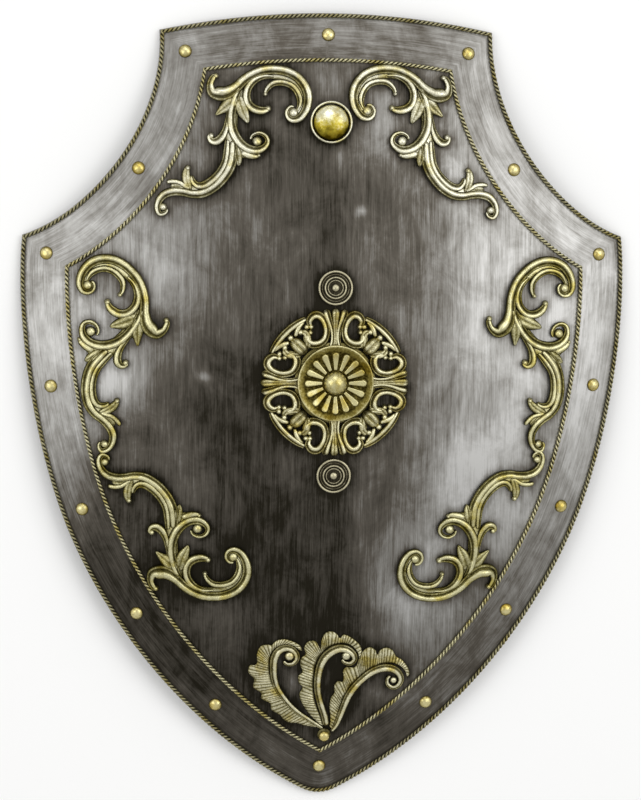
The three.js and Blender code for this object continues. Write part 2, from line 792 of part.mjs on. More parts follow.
function leafSpray() {
  const foot = turned(
    [[0, 0], [leafFootDiameter / 2, 0], [leafFootDiameter / 2, leafFoot], [0, leafFoot]], nailSides);
  const spray = joined([
    foot,
    ...plumes.flatMap(({ stem, bead: volute }) => [
      blade(stem),
      stroke(stem, leafUnit, leafFoot, leafSwell),
      bead(volute, leafUnit, leafFoot + 4 * leafSwell * leafUnit),
    ]),
  ]);
  return geometryFrom(solidFrom(spray).subtract(solidFrom(holePin(4 * leafFoot))));
}

addPiece('leaf_spray', laid(leafSpray(), leafNailPlace, 0, false), paleGilt);
const leafNailSeat = seatGap + Math.max(leafFoot, bladeThickness) + seatGap;
addPiece('leaf_nail', nail(leafNailPlace, leafNailHeadDiameter, leafNailSeat), brass);

export default shield;
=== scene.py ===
import bpy
import numpy as np
from mathutils import Matrix, Vector


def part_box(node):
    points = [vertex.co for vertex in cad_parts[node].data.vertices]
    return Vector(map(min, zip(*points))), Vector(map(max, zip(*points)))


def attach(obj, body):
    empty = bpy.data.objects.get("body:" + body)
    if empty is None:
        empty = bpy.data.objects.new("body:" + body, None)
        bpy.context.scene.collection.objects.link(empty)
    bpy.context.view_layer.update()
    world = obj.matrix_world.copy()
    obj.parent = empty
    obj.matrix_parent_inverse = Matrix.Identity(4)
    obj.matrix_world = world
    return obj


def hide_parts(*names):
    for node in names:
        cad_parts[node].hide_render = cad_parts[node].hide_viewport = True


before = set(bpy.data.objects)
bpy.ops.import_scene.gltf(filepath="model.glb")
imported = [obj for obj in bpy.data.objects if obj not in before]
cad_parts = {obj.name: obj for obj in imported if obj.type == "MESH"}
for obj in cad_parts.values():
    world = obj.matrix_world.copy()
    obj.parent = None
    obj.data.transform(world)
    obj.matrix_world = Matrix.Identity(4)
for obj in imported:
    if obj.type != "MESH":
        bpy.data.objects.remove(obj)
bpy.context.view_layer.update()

# The sheet
# One plate of 1.2 mm mild steel, cut to the heater outline and raised to an even shallow dome. Its
# field was ground up and down and its border along the edge, then both were washed dark and wiped.
# The wash's colour also holds a painted shade round the ornaments and painted reflections of the lamps.

MM = 0.001
SHEET_THICKNESS = 1.2
DOME_RISE = 48
BORDER_WIDTH = 38
TOP_WIDTH, TOP_RISE = 277, 15
SHOULDER_WIDTH, SHOULDER_DROP = 503, 184.5
FLANK_WIDTH, FLANK_DROP = 441, 413
FLANK_ARM = np.array([28.4, 81.2])
TIP_ARM = np.array([108, 60])
TIP_RADIUS = 30
SHEET_LOW, SHEET_HIGH = (np.array(corner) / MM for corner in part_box("shield_plate"))
TOP_Y, TIP_Y = SHEET_HIGH[1], SHEET_LOW[1]


def cubic(start, arm_out, arm_in, end, count=120):
    """Cubic curve: every point is the weighted mean of both ends and of the ends of their two arms."""
    t = np.linspace(0, 1, count)[:, None]
    a, b, c, d = (np.array(p, float) for p in (start, np.add(start, arm_out), np.add(end, arm_in), end))
    return (1 - t) ** 3 * a + 3 * (1 - t) ** 2 * t * b + 3 * (1 - t) * t * t * c + t**3 * d


top_corner = np.array([TOP_WIDTH / 2, TOP_Y - TOP_RISE])
shoulder = np.array([SHOULDER_WIDTH / 2, TOP_Y - SHOULDER_DROP])
flank_middle = np.array([FLANK_WIDTH / 2, TOP_Y - FLANK_DROP])
# The tip is a short round bend between both flanks
tip_angle = np.linspace(np.arctan2(TIP_ARM[1], TIP_ARM[0]), 0, 9)
tip_bend = np.stack([np.sin(tip_angle), 1 - np.cos(tip_angle)], 1) * TIP_RADIUS + [0, TIP_Y]
top_x = np.linspace(0, top_corner[0], 120)
top_side = np.stack([top_x, TOP_Y - TOP_RISE * (top_x / top_corner[0]) ** 2], 1)
hollow_side = cubic(top_corner, (-4, -77), (-54, 19), shoulder)
flank_side = np.vstack([
    cubic(shoulder, (5.5, -51), FLANK_ARM, flank_middle),
    cubic(flank_middle, -FLANK_ARM, TIP_ARM, tip_bend[0])[1:],
    tip_bend[1:],
])
flank_side[:, 0] *= SHEET_HIGH[0] / flank_side[:, 0].max()


def moved_in(side, inset):
    """The side shifted by the inset square to its own run, and run on 1 mm past both of its ends."""
    along = np.gradient(side, axis=0)
    along /= np.linalg.norm(along, axis=1)[:, None]
    moved = side + inset * np.stack([along[:, 1], -along[:, 0]], 1)
    return np.vstack([moved[0] - along[0], moved, moved[-1] + along[-1]])


def mitred(first, second):
    """Both sides cut back to their crossing: segment a + s u meets segment c + t v where both shares
    s and t lie between 0 and 1."""
    a, u = first[:-1, None], np.diff(first, axis=0)[:, None]
    c, v = second[None, :-1], np.diff(second, axis=0)[None]
    w = c - a
    bend = u[..., 0] * v[..., 1] - u[..., 1] * v[..., 0]
    s = (w[..., 0] * v[..., 1] - w[..., 1] * v[..., 0]) / bend
    t = (w[..., 0] * u[..., 1] - w[..., 1] * u[..., 0]) / bend
    i, j = np.argwhere((s >= 0) & (s <= 1) & (t >= 0) & (t <= 1))[-1]
    corner = a[i, 0] + s[i, j] * u[i, 0]
    return np.vstack([first[: i + 1], corner]), np.vstack([corner, second[j + 1 :]])


def evenly(points, count):
    """The polyline resampled at equal steps of its own length, every column read between points."""
    run = np.r_[0, np.cumsum(np.linalg.norm(np.diff(points[:, :2], axis=0), axis=1))]
    at = np.linspace(0, run[-1], count)
    return np.stack([np.interp(at, run, column) for column in points.T], 1)


def outline(inset, top_steps, hollow_steps, flank_steps):
    """The closed outline at an inset, clockwise from the top's middle: three sides mitred at their
    corners, each evenly stepped, and the same mirrored."""
    axis = np.array([[0, TOP_Y], [0, 2 * TIP_Y]])
    top, rest = mitred(moved_in(top_side, inset)[1:], moved_in(hollow_side, inset))
    hollow, rest = mitred(rest, moved_in(flank_side, inset))
    flank, _ = mitred(rest, axis)
    right = np.vstack([
        evenly(top, top_steps + 1), evenly(hollow, hollow_steps + 1)[1:], evenly(flank, flank_steps + 1)[1:],
    ])
    return np.vstack([right, right[-2:0:-1] * [-1, 1]])


# The dome is the one upright paraboloid of that rise whose rim touches the ground at five points:
# both top corners, both shoulders and the tip
corner_share = (top_corner[0] / shoulder[0]) ** 2
DOME_Y = (top_corner[1] ** 2 - corner_share * shoulder[1] ** 2 - (1 - corner_share) * TIP_Y**2) / (
    2 * (top_corner[1] - corner_share * shoulder[1] - (1 - corner_share) * TIP_Y)
)
DOME_ALONG = DOME_RISE / (TIP_Y - DOME_Y) ** 2
DOME_ACROSS = (DOME_RISE - DOME_ALONG * (shoulder[1] - DOME_Y) ** 2) / shoulder[0] ** 2


def front_height(x, y):
    """Height of the sheet's front: the rise less a square law each way from the crown."""
    return SHEET_THICKNESS + DOME_RISE - DOME_ACROSS * x * x - DOME_ALONG * (y - DOME_Y) ** 2


def ring_faces(rows, columns, closed):
    """Quads between each ring of points and the next. A closed run joins its last ring to its first,
    and an open one is capped by triangles to a middle point at each end."""
    j = np.arange(columns)
    k = (j + 1) % columns
    i = np.arange(rows if closed else rows - 1)[:, None]
    n = (i + 1) % rows * columns
    i = i * columns
    faces = np.stack([i + j, i + k, n + k, n + j], -1).reshape(-1, 4).tolist()
    if not closed:
        first, last = rows * columns, rows * columns + 1
        end = (rows - 1) * columns
        faces += np.stack([np.full(columns, first), k, j], 1).tolist()
        faces += np.stack([np.full(columns, last), end + j, end + k], 1).tolist()
    return faces


def volume_sign(points, faces):
    """Sign of the closed volume: the sum over faces of corner 1 dot (corner 2 cross corner 3)."""
    a, b, c = (points[np.array([face[n] for face in faces])] for n in range(3))
    return np.sign(np.einsum("ij,ij->", a - points.mean(0), np.cross(b - a, c - a)))


def joined(shells):
    """One list of points, values of wear and painted light, and outward faces out of several ring shells,
    each given as (rings, values, closed) with rings of shape (rows, columns, 3) and values of shape
    (rows, columns)."""
    points, worn, faces = [], [], []
    offset = 0
    for rings, wear_and_light_values, closed in shells:
        flat = rings.reshape(-1, 3)
        values = np.broadcast_to(wear_and_light_values, rings.shape[:2]).ravel()
        if not closed:
            flat = np.vstack([flat, rings[0].mean(0), rings[-1].mean(0)])
            values = np.r_[values, values[0], values[-1]]
        own = ring_faces(*rings.shape[:2], closed)
        if volume_sign(flat, own) < 0:
            own = [face[::-1] for face in own]
        points.append(flat)
        worn.append(values)
        faces += [[index + offset for index in face] for face in own]
        offset += len(flat)
    return np.vstack(points), np.concatenate(worn), faces


def new_piece(name, points, faces, material, slot, nodes, **attributes):
    """A piece at the origin with its place in its mesh, in metres, that stands for CAD nodes."""
    mesh = bpy.data.meshes.new(name)
    mesh.from_pydata((points * MM).tolist(), [], faces)
    mesh.polygons.foreach_set("use_smooth", np.ones(len(faces), bool))
    for label, values in attributes.items():
        kind = "FLOAT" if values.ndim == 1 else "FLOAT_VECTOR"
        store = mesh.attributes.new(label, kind, "POINT")
        store.data.foreach_set("value" if values.ndim == 1 else "vector", values.astype(np.float32).ravel())
    mesh.materials.append(material)
    piece = bpy.data.objects.new(name, mesh)
    bpy.context.scene.collection.objects.link(piece)
    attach(piece, "root")
    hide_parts(*nodes)
    return piece


def linear(hex_colour):
    """sRGB hex to linear light: each channel by the sRGB curve."""
    channels = [int(hex_colour[i : i + 2], 16) / 255 for i in (1, 3, 5)]
    return [c / 12.92 if c <= 0.04045 else ((c + 0.055) / 1.055) ** 2.4 for c in channels] + [1.0]


def node(tree, kind, **settings):
    """Adds a shader node and returns its outputs. Each setting goes to the property of its name, or
    else to the input of its name (an underscore is a space) or number (i0, i1), and is linked where
    it is a socket. stops fills a colour ramp with (place, hex colour)."""
    made = tree.nodes.new("ShaderNode" + kind)
    for label, value in settings.items():
        if label == "stops":
            elements = made.color_ramp.elements
            while len(elements) < len(value):
                elements.new(0.5)
            for element, (place, colour) in zip(elements, value):
                element.position, element.color = place, linear(colour)
        elif hasattr(made, label):
            setattr(made, label, value)
        else:
            socket = made.inputs[int(label[1:]) if label[1:].isdigit() else label.replace("_", " ")]
            if isinstance(value, bpy.types.NodeSocket):
                tree.links.new(value, socket)
            else:
                socket.default_value = value
    return made.outputs


def new_material(name):
    """An empty node material with one Principled shader wired to its output."""
    material = bpy.data.materials.new(name)
    material.use_nodes = True
    tree = material.node_tree
    return material, tree, tree.nodes["Principled BSDF"]


# The wiped sheet from bare to black
STEEL_STOPS = ((0.0, "#c4c3c0"), (0.3, "#979590"), (0.6, "#635e56"), (1.0, "#29261e"))


def antique_steel():
    """Mild steel ground with a coarse belt, so long fine scratches run along its grain, then rubbed
    with a near-black wash that stays in them, round every fixing and in broad untidy passes. The
    darkening round every fixing is also a painted shade, and the broad passes also paint the lamps'
    dark and bright reflections. The darkness is the attribute plus 0.9 cloud, 0.6 stroke and 0.5
    scratch, each a noise about 0.5."""
    material, tree, shader = new_material("antique_steel")
    grain = node(tree, "Attribute", attribute_name="grain")["Vector"]
    # The attribute holds the wash with a painted shade round the ornaments and painted reflections of the
    # lamps
    wash = node(tree, "Attribute", attribute_name="wash")["Fac"]
    place = node(tree, "TexCoord")["Object"]
    # Lumps per metre across and along the grain. Belt scratches are a tenth as wide in truth, and are
    # drawn 0.9 mm wide, a pixel of the photograph, to show at all.
    thin = node(tree, "Mapping", Vector=grain, Scale=(1100, 32, 1000))[0]
    wide = node(tree, "Mapping", Vector=grain, Scale=(260, 17, 300))[0]
    drift = node(tree, "Mapping", Vector=place, Scale=(34, 22, 34))[0]
    scratch = node(tree, "TexNoise", Vector=thin, Scale=1.0, Detail=4.0, Roughness=0.6)[0]
    stroke = node(tree, "TexNoise", Vector=wide, Scale=1.0, Detail=5.0, Roughness=0.7)[0]
    cloud = node(tree, "TexNoise", Vector=drift, Scale=1.0, Detail=7.0, Roughness=0.68, Distortion=0.4)[0]
    dent = node(tree, "TexNoise", Vector=place, Scale=22.0, Detail=1.0)[0]
    level = node(tree, "Math", operation="MULTIPLY_ADD", i0=cloud, i1=0.9, i2=wash)[0]
    level = node(tree, "Math", operation="MULTIPLY_ADD", i0=stroke, i1=0.6, i2=level)[0]
    level = node(tree, "Math", operation="MULTIPLY_ADD", i0=scratch, i1=0.5, i2=level)[0]
    level = node(tree, "MapRange", Value=level, From_Min=1.0, From_Max=2.0)[0]
    colour = node(tree, "ValToRGB", Fac=level, stops=STEEL_STOPS)[0]
    rough = node(tree, "MapRange", Value=level, To_Min=0.46, To_Max=0.6)[0]
    ground = node(tree, "Math", operation="MULTIPLY", i0=scratch, i1=0.05)[0]
    height = node(tree, "Math", operation="MULTIPLY_ADD", i0=dent, i1=0.5, i2=ground)[0]
    bump = node(tree, "Bump", Strength=1.0, Distance=MM, Height=height)[0]
    shader.inputs["Metallic"].default_value = 1.0
    for label, socket in (("Base Color", colour), ("Roughness", rough), ("Normal", bump)):
        tree.links.new(socket, shader.inputs[label])
    return material


# Points along the top, a hollow and a flank, and rows of the sheet's front from the edge to the crown
LOOP_STEPS = (48, 64, 176)
BORDER_ROWS, FIELD_ROWS = 15, 96
EDGE_ROUND = 0.35
edge_loop = outline(0, *LOOP_STEPS)
eased_loop = outline(EDGE_ROUND, *LOOP_STEPS)
wire_loop = outline(BORDER_WIDTH, *LOOP_STEPS)
crown = np.array([0, DOME_Y])


def between(outer, inner, shares):
    """Loops that lie the given shares of the way from an outer loop to an inner one."""
    return outer[None] + np.asarray(shares)[:, None, None] * (inner - outer)[None]


field_shares = 1 - (1 - np.linspace(0, 0.99, FIELD_ROWS)) ** 1.08
front_loops = np.concatenate([
    between(eased_loop, wire_loop, np.linspace(0, 0.985, BORDER_ROWS)),
    between(wire_loop, crown, field_shares),
])
back_loops = between(eased_loop, crown, [0, 0.25, 0.5, 0.7, 0.85, 0.97])[::-1]
all_loops = np.concatenate([back_loops, edge_loop[None], edge_loop[None], front_loops])
heights = front_height(all_loops[..., 0], all_loops[..., 1])
backs = len(back_loops)
heights[:backs] -= SHEET_THICKNESS
heights[backs] -= SHEET_THICKNESS - EDGE_ROUND
heights[backs + 1] -= EDGE_ROUND
heights[:backs] = np.maximum(heights[:backs], 0)
# Grain: across and along the belt's run, along the edge on the border and upright on the field. The
# two rows before the front's are the sheet's cut edge. The border's third value sets its noise apart.
run = np.r_[0, np.cumsum(np.linalg.norm(np.diff(edge_loop, axis=0), axis=1))]
grain = np.zeros((*all_loops.shape[:2], 3))
grain[..., :2] = all_loops
border_rows = slice(backs, backs + 2 + BORDER_ROWS)
grain[border_rows, :, 0] = np.linspace(0, BORDER_WIDTH, BORDER_ROWS + 2)[:, None]
grain[border_rows, :, 1] = run[None]
grain[border_rows, :, 2] = 400
sheet_rings = np.concatenate([all_loops, heights[..., None]], 2)
sheet_points, _, sheet_faces = joined([(sheet_rings, 0.0, False)])
sheet_grain = np.vstack([grain.reshape(-1, 3), grain[0].mean(0), grain[-1].mean(0)]) * MM
steel = antique_steel()
sheet = new_piece("steel_sheet", sheet_points, sheet_faces, steel, "steel_sheet", ["shield_plate"],
                  grain=sheet_grain)

# The twisted wires
# Two soft brass wires laid up into a two-strand cord, soldered round the edge and again along the
# inner side of the border. The twist is bright where it was rubbed and black between the strands,
# where the wash stays and where a painted shade stands in for the shadow between them.

WIRE_DIAMETER = 3.7
STRANDS = 2
TWIST_LENGTH = 7.6
STEPS_PER_TWIST = 11
STRAND_SIDES = 7


def path_frames(path):
    """Unit run, way out across it and way up of a closed path, from each point's two neighbours."""
    run = np.roll(path, -1, 0) - np.roll(path, 1, 0)
    run /= np.linalg.norm(run, axis=1)[:, None]
    out = np.cross(run, [0, 0, 1])
    out /= np.linalg.norm(out, axis=1)[:, None]
    return run, out, np.cross(out, run)


def twisted(loop):
    """Each strand is a tube whose middle circles the cord's own middle once in a twist's length, at
    half the strand's diameter, so the strands lie against each other."""
    length = np.linalg.norm(np.diff(np.vstack([loop, loop[:1]]), axis=0), axis=1).sum()
    turns = round(length / TWIST_LENGTH)
    middle = evenly(np.vstack([loop, loop[:1]]), turns * STEPS_PER_TWIST + 1)[:-1]
    height = front_height(middle[:, 0], middle[:, 1]) + WIRE_DIAMETER / 2
    middle = np.column_stack([middle, height])
    _, out, up = path_frames(middle)
    strand = WIRE_DIAMETER / 4
    shells = []
    for number in range(STRANDS):
        angle = 2 * np.pi * (np.arange(len(middle)) / STEPS_PER_TWIST + number / STRANDS)
        offset = np.cos(angle)[:, None] * out + np.sin(angle)[:, None] * up
        path = middle + strand * offset
        _, side, over = path_frames(path)
        turn = 2 * np.pi * np.arange(STRAND_SIDES) / STRAND_SIDES
        round_it = np.cos(turn)[None, :, None] * side[:, None] + np.sin(turn)[None, :, None] * over[:, None]
        # Bright on each strand's outer side and dark where it faces the other strand: wash there, and a
        # painted shade of the gap
        worn = np.clip(np.einsum("ijk,ik->ij", round_it, offset) * 0.6 + 0.5, 0, 1)
        shells.append((path[:, None] + strand * round_it, worn, True))
    return joined(shells)


def antique_brass(name, dark, middle, light, rough=0.36, patches=None, lumps=1250, depth=0.09):
    """Cast or drawn brass under a dark wash that was rubbed off what stands proud. The attribute is 0 in
    a recess and 1 on a crest; on the boss it also holds a painted highlight on the upper side and a
    painted shade on the lower, and on the twisted wires a painted shade between the strands. Noise of
    a few tenths of it makes the rubbing uneven. patches is the hue of broad areas where warmer metal
    shows, lumps the noise's lumps per metre and depth its height in mm."""
    material, tree, shader = new_material(name)
    worn = node(tree, "Attribute", attribute_name="worn")["Fac"]
    place = node(tree, "TexCoord")["Object"]
    fine = node(tree, "TexNoise", Vector=place, Scale=lumps, Detail=5.0, Roughness=0.62)[0]
    broad = node(tree, "TexNoise", Vector=place, Scale=110.0, Detail=2.0)[0]
    level = node(tree, "Math", operation="MULTIPLY_ADD", i0=fine, i1=0.9, i2=worn)[0]
    level = node(tree, "Math", operation="MULTIPLY_ADD", i0=broad, i1=0.6, i2=level)[0]
    level = node(tree, "MapRange", Value=level, From_Min=0.75, From_Max=1.75)[0]
    stops = ((0.05, dark), (0.45, middle), (0.9, light))
    colour = node(tree, "ValToRGB", Fac=level, stops=stops)[0]
    if patches:
        tint = node(tree, "TexNoise", Vector=place, Scale=60.0, Detail=3.0, Roughness=0.6)[0]
        share = node(tree, "MapRange", Value=tint, From_Min=0.5, From_Max=0.66, To_Max=0.8)[0]
        colour = node(tree, "Mix", data_type="RGBA", blend_type="MULTIPLY", i0=share, i6=colour,
                      i7=linear(patches))[2]
    sheen = node(tree, "MapRange", Value=level, To_Min=rough + 0.25, To_Max=rough)[0]
    bump = node(tree, "Bump", Strength=1.0, Distance=depth * MM, Height=fine)[0]
    shader.inputs["Metallic"].default_value = 1.0
    for label, socket in (("Base Color", colour), ("Roughness", sheen), ("Normal", bump)):
        tree.links.new(socket, shader.inputs[label])
    return material


wire_brass = antique_brass("twisted_brass_wire", "#211e14", "#645e42", "#c6c09a", 0.42, "#ded290")
dull_brass = antique_brass("washed_brass_wire", "#1d1b12", "#4a4631", "#a29c7a", 0.46, "#ded290")
for name, inset, stood_for, finish in (("edge_cord", WIRE_DIAMETER / 2, "edge_rope", dull_brass),
                                       ("border_cord", BORDER_WIDTH, "inner_rope", wire_brass)):
    points, worn, faces = twisted(outline(inset, *LOOP_STEPS))
    new_piece(name, points, faces, finish, "twisted_wire", [stood_for], worn=worn)

# The nails
# Domed brass nails with a tapered shank, pressed from sheet and hammered home, so no two heads sit
# quite alike. Their yellow lacquer is scuffed on top and dark where the head meets the sheet.

NAIL_RADIUS, NAIL_LIFT = 5.45, 0.05
LEAF_NAIL_RADIUS, LEAF_NAIL_LIFT = 4.75, 2.4
NAIL_HEAD_RISE = 3.6
SHANK_RADIUS = 1.3
HEAD_SIDES = 32
seed = np.random.default_rng(7)


def upright(slope_x, slope_y):
    """The turn that stands +Z square to a surface with these slopes: its columns are the surface's
    own across, up and outward directions."""
    out = np.array([-slope_x, -slope_y, 1.0])
    out /= np.linalg.norm(out)
    across = np.cross([0, 1.0, 0], out)
    across /= np.linalg.norm(across)
    return np.column_stack([across, np.cross(out, across), out])


def seated(rings, x, y, lift=0.0):
    """Rings that were worked out on flat ground, stood on the sheet's front at a place, square to the
    dome there, and lifted off it."""
    turn = upright(-2 * DOME_ACROSS * x, -2 * DOME_ALONG * (y - DOME_Y))
    foot = np.array([x, y, front_height(x, y)]) + lift * turn[:, 2]
    return rings @ turn.T + foot


def lathe(profile, sides):
    """Rings of a turned piece: each profile point (radius, height) carried round the axis."""
    radius, height = np.array(profile, float).T
    angle = 2 * np.pi * np.arange(sides) / sides
    return np.stack([
        radius[:, None] * np.cos(angle), radius[:, None] * np.sin(angle),
        np.broadcast_to(height[:, None], (len(radius), sides)),
    ], -1)


def nail_shell(radius, lift):
    """A tapered shank, a flat underside and a head that is a low dome with a tight edge: height goes
    with the 0.6 power of one less the square of the share of the radius."""
    share = np.cos(np.linspace(0, np.pi / 2 * 0.985, 12))
    dome = np.column_stack([radius * share, NAIL_HEAD_RISE * (0.12 + 0.88 * (1 - share**2) ** 0.6)])
    point = -lift - SHEET_THICKNESS - 1.7
    shank = [[0.08, point], [SHANK_RADIUS * 0.55, point * 0.55], [SHANK_RADIUS, 0]]
    profile = np.vstack([shank, [[radius * 0.97, 0]], dome])
    worn = np.r_[0.2, 0.2, 0.1, 0.05, 0.3 + 0.6 * (1 - share**2) ** 0.7]
    return lathe(profile, HEAD_SIDES), worn[:, None]


def knocked(rings, amount=0.12):
    """Soft dents from the hammer: each point moves in by a slow wave of its own direction."""
    phase = seed.uniform(0, 2 * np.pi, 3)
    x, y = rings[..., 0], rings[..., 1]
    wave = np.sin(0.9 * x + phase[0]) * np.cos(0.8 * y + phase[1]) + 0.5 * np.sin(1.7 * (x - y) + phase[2])
    dented = rings.copy()
    dented[..., 2] -= np.where(rings[..., 2] > 0.5, amount * (1 + wave) / 2, 0)
    return dented


nail_brass = antique_brass("nail_brass", "#3a3112", "#a39350", "#eee3a8", 0.3, "#e9d884", 500, 0.16)
nail_names = [f"border_nail_{number:02d}" for number in range(1, 17)] + ["leaf_nail"]
for name in nail_names:
    low, high = (np.array(corner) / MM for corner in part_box(name))
    x, y = (low[:2] + high[:2]) / 2
    # A nail leans with the dome, so the middle of its box lies off its foot by a share of the slope
    slope = np.array([2 * DOME_ACROSS * x, 2 * DOME_ALONG * (y - DOME_Y)])
    x, y = (x, y) - slope * 0.2
    lift = LEAF_NAIL_LIFT if name == "leaf_nail" else NAIL_LIFT
    rings, worn = nail_shell(LEAF_NAIL_RADIUS if name == "leaf_nail" else NAIL_RADIUS, lift)
    points, worn, faces = joined([(seated(knocked(rings), x, y, lift), worn, False)])
    new_piece(name.replace("border_nail", "nail").replace("leaf_nail", "nail_of_leaves"),
              points, faces, nail_brass, "nail", [name], worn=worn)

# The scroll castings
# Six castings from one pattern, in thin pale brass, each cleaned up by hand and riveted on: a band
# with a bead along one side runs from a corner curl over into a volute, and sends down a stem.

SEAT_GAP = 0.3
SCROLL_FOOT = 2.2
SCROLL_SWELL, LEAFLET_SWELL = 0.85, 0.5
STROKE_STEP = 0.85
WIDE_AND_BEAD = [(-0.3, 0.7, 1.0), (0.7, 0.31, 0.72)]
ROUND = [(0.0, 1.0, 1.0)]
LEAF = [(-0.4, 0.6, 0.85), (0.4, 0.6, 0.85)]


def smooth_path(points, step):
    """A curve through the points whose every stretch is the cubic that leaves and enters along the
    line between its neighbours, stepped evenly."""
    given = np.array(points, float)
    p = np.vstack([2 * given[0] - given[1], given, 2 * given[-1] - given[-2]])
    t = np.linspace(0, 1, 24, endpoint=False)[:, None]
    a, b, c, d = p[:-3, None], p[1:-2, None], p[2:-1, None], p[3:, None]
    curve = b + 0.5 * t * (c - a + t * (2 * a - 5 * b + 4 * c - d + t * (3 * (b - c) + d - a)))
    curve = np.vstack([curve.reshape(-1, given.shape[1]), given[-1]])
    length = np.linalg.norm(np.diff(curve[:, :2], axis=0), axis=1).sum()
    return evenly(curve, max(6, int(length / step)))


def bar(points, ridges=WIDE_AND_BEAD, foot=SCROLL_FOOT, swell=SCROLL_SWELL, bead_side=1, round_ends=True):
    """A carved bar along a curve through (x, y, half width) points. Its section is upright to the
    foot, then the highest of several ridges, each half an ellipse over its own share of the width,
    and as high as the swell times the half width."""
    path = smooth_path(points, STROKE_STEP)
    run = np.gradient(path[:, :2], axis=0)
    run /= np.linalg.norm(run, axis=1)[:, None]
    side = np.stack([-run[:, 1], run[:, 0]], 1) * -bead_side
    gone = np.r_[0, np.cumsum(np.linalg.norm(np.diff(path[:, :2], axis=0), axis=1))]
    half = path[:, 2].copy()
    if round_ends:
        for way in (gone, gone[-1] - gone):
            share = np.clip(way / np.maximum(half, 0.3), 0, 1)
            half *= np.sqrt(np.maximum(1 - (1 - share) ** 2, 0.02))
    across = np.linspace(-1, 1, 19)
    crest = np.max([high * np.sqrt(np.clip(1 - ((across - middle) / wide) ** 2, 0, 1))
                    for middle, wide, high in ridges], 0)
    out = np.r_[-1, across, 1]
    rise = np.r_[0, crest, 0]
    base = np.r_[-SEAT_GAP, np.full(len(across), foot), -SEAT_GAP]
    flat = path[:, None, :2] + (half[:, None] * out)[..., None] * side[:, None]
    height = base + swell * half[:, None] * rise
    low_end = np.clip(half / np.maximum(path[:, 2], 0.3), 0.35, 1)[:, None]
    height = np.where(base > 0, height * low_end, height)
    worn = np.broadcast_to(np.r_[0, 0.1 + 0.82 * crest**2.2, 0], height.shape)
    return np.concatenate([flat, height[..., None]], 2), worn, False


def ball(x, y, radius, top):
    """A bead cast on the band's end: a half ellipsoid as high as the band's own crest."""
    angle = np.linspace(0, np.pi / 2 * 0.97, 9)
    profile = np.column_stack([radius * np.cos(angle), top * np.sin(angle)])
    rings = lathe(np.vstack([[radius, -SEAT_GAP], profile]), 20) + np.array([x, y, 0])
    return rings, np.r_[0.0, 0.15 + 0.85 * np.sin(angle) ** 0.8][:, None], False


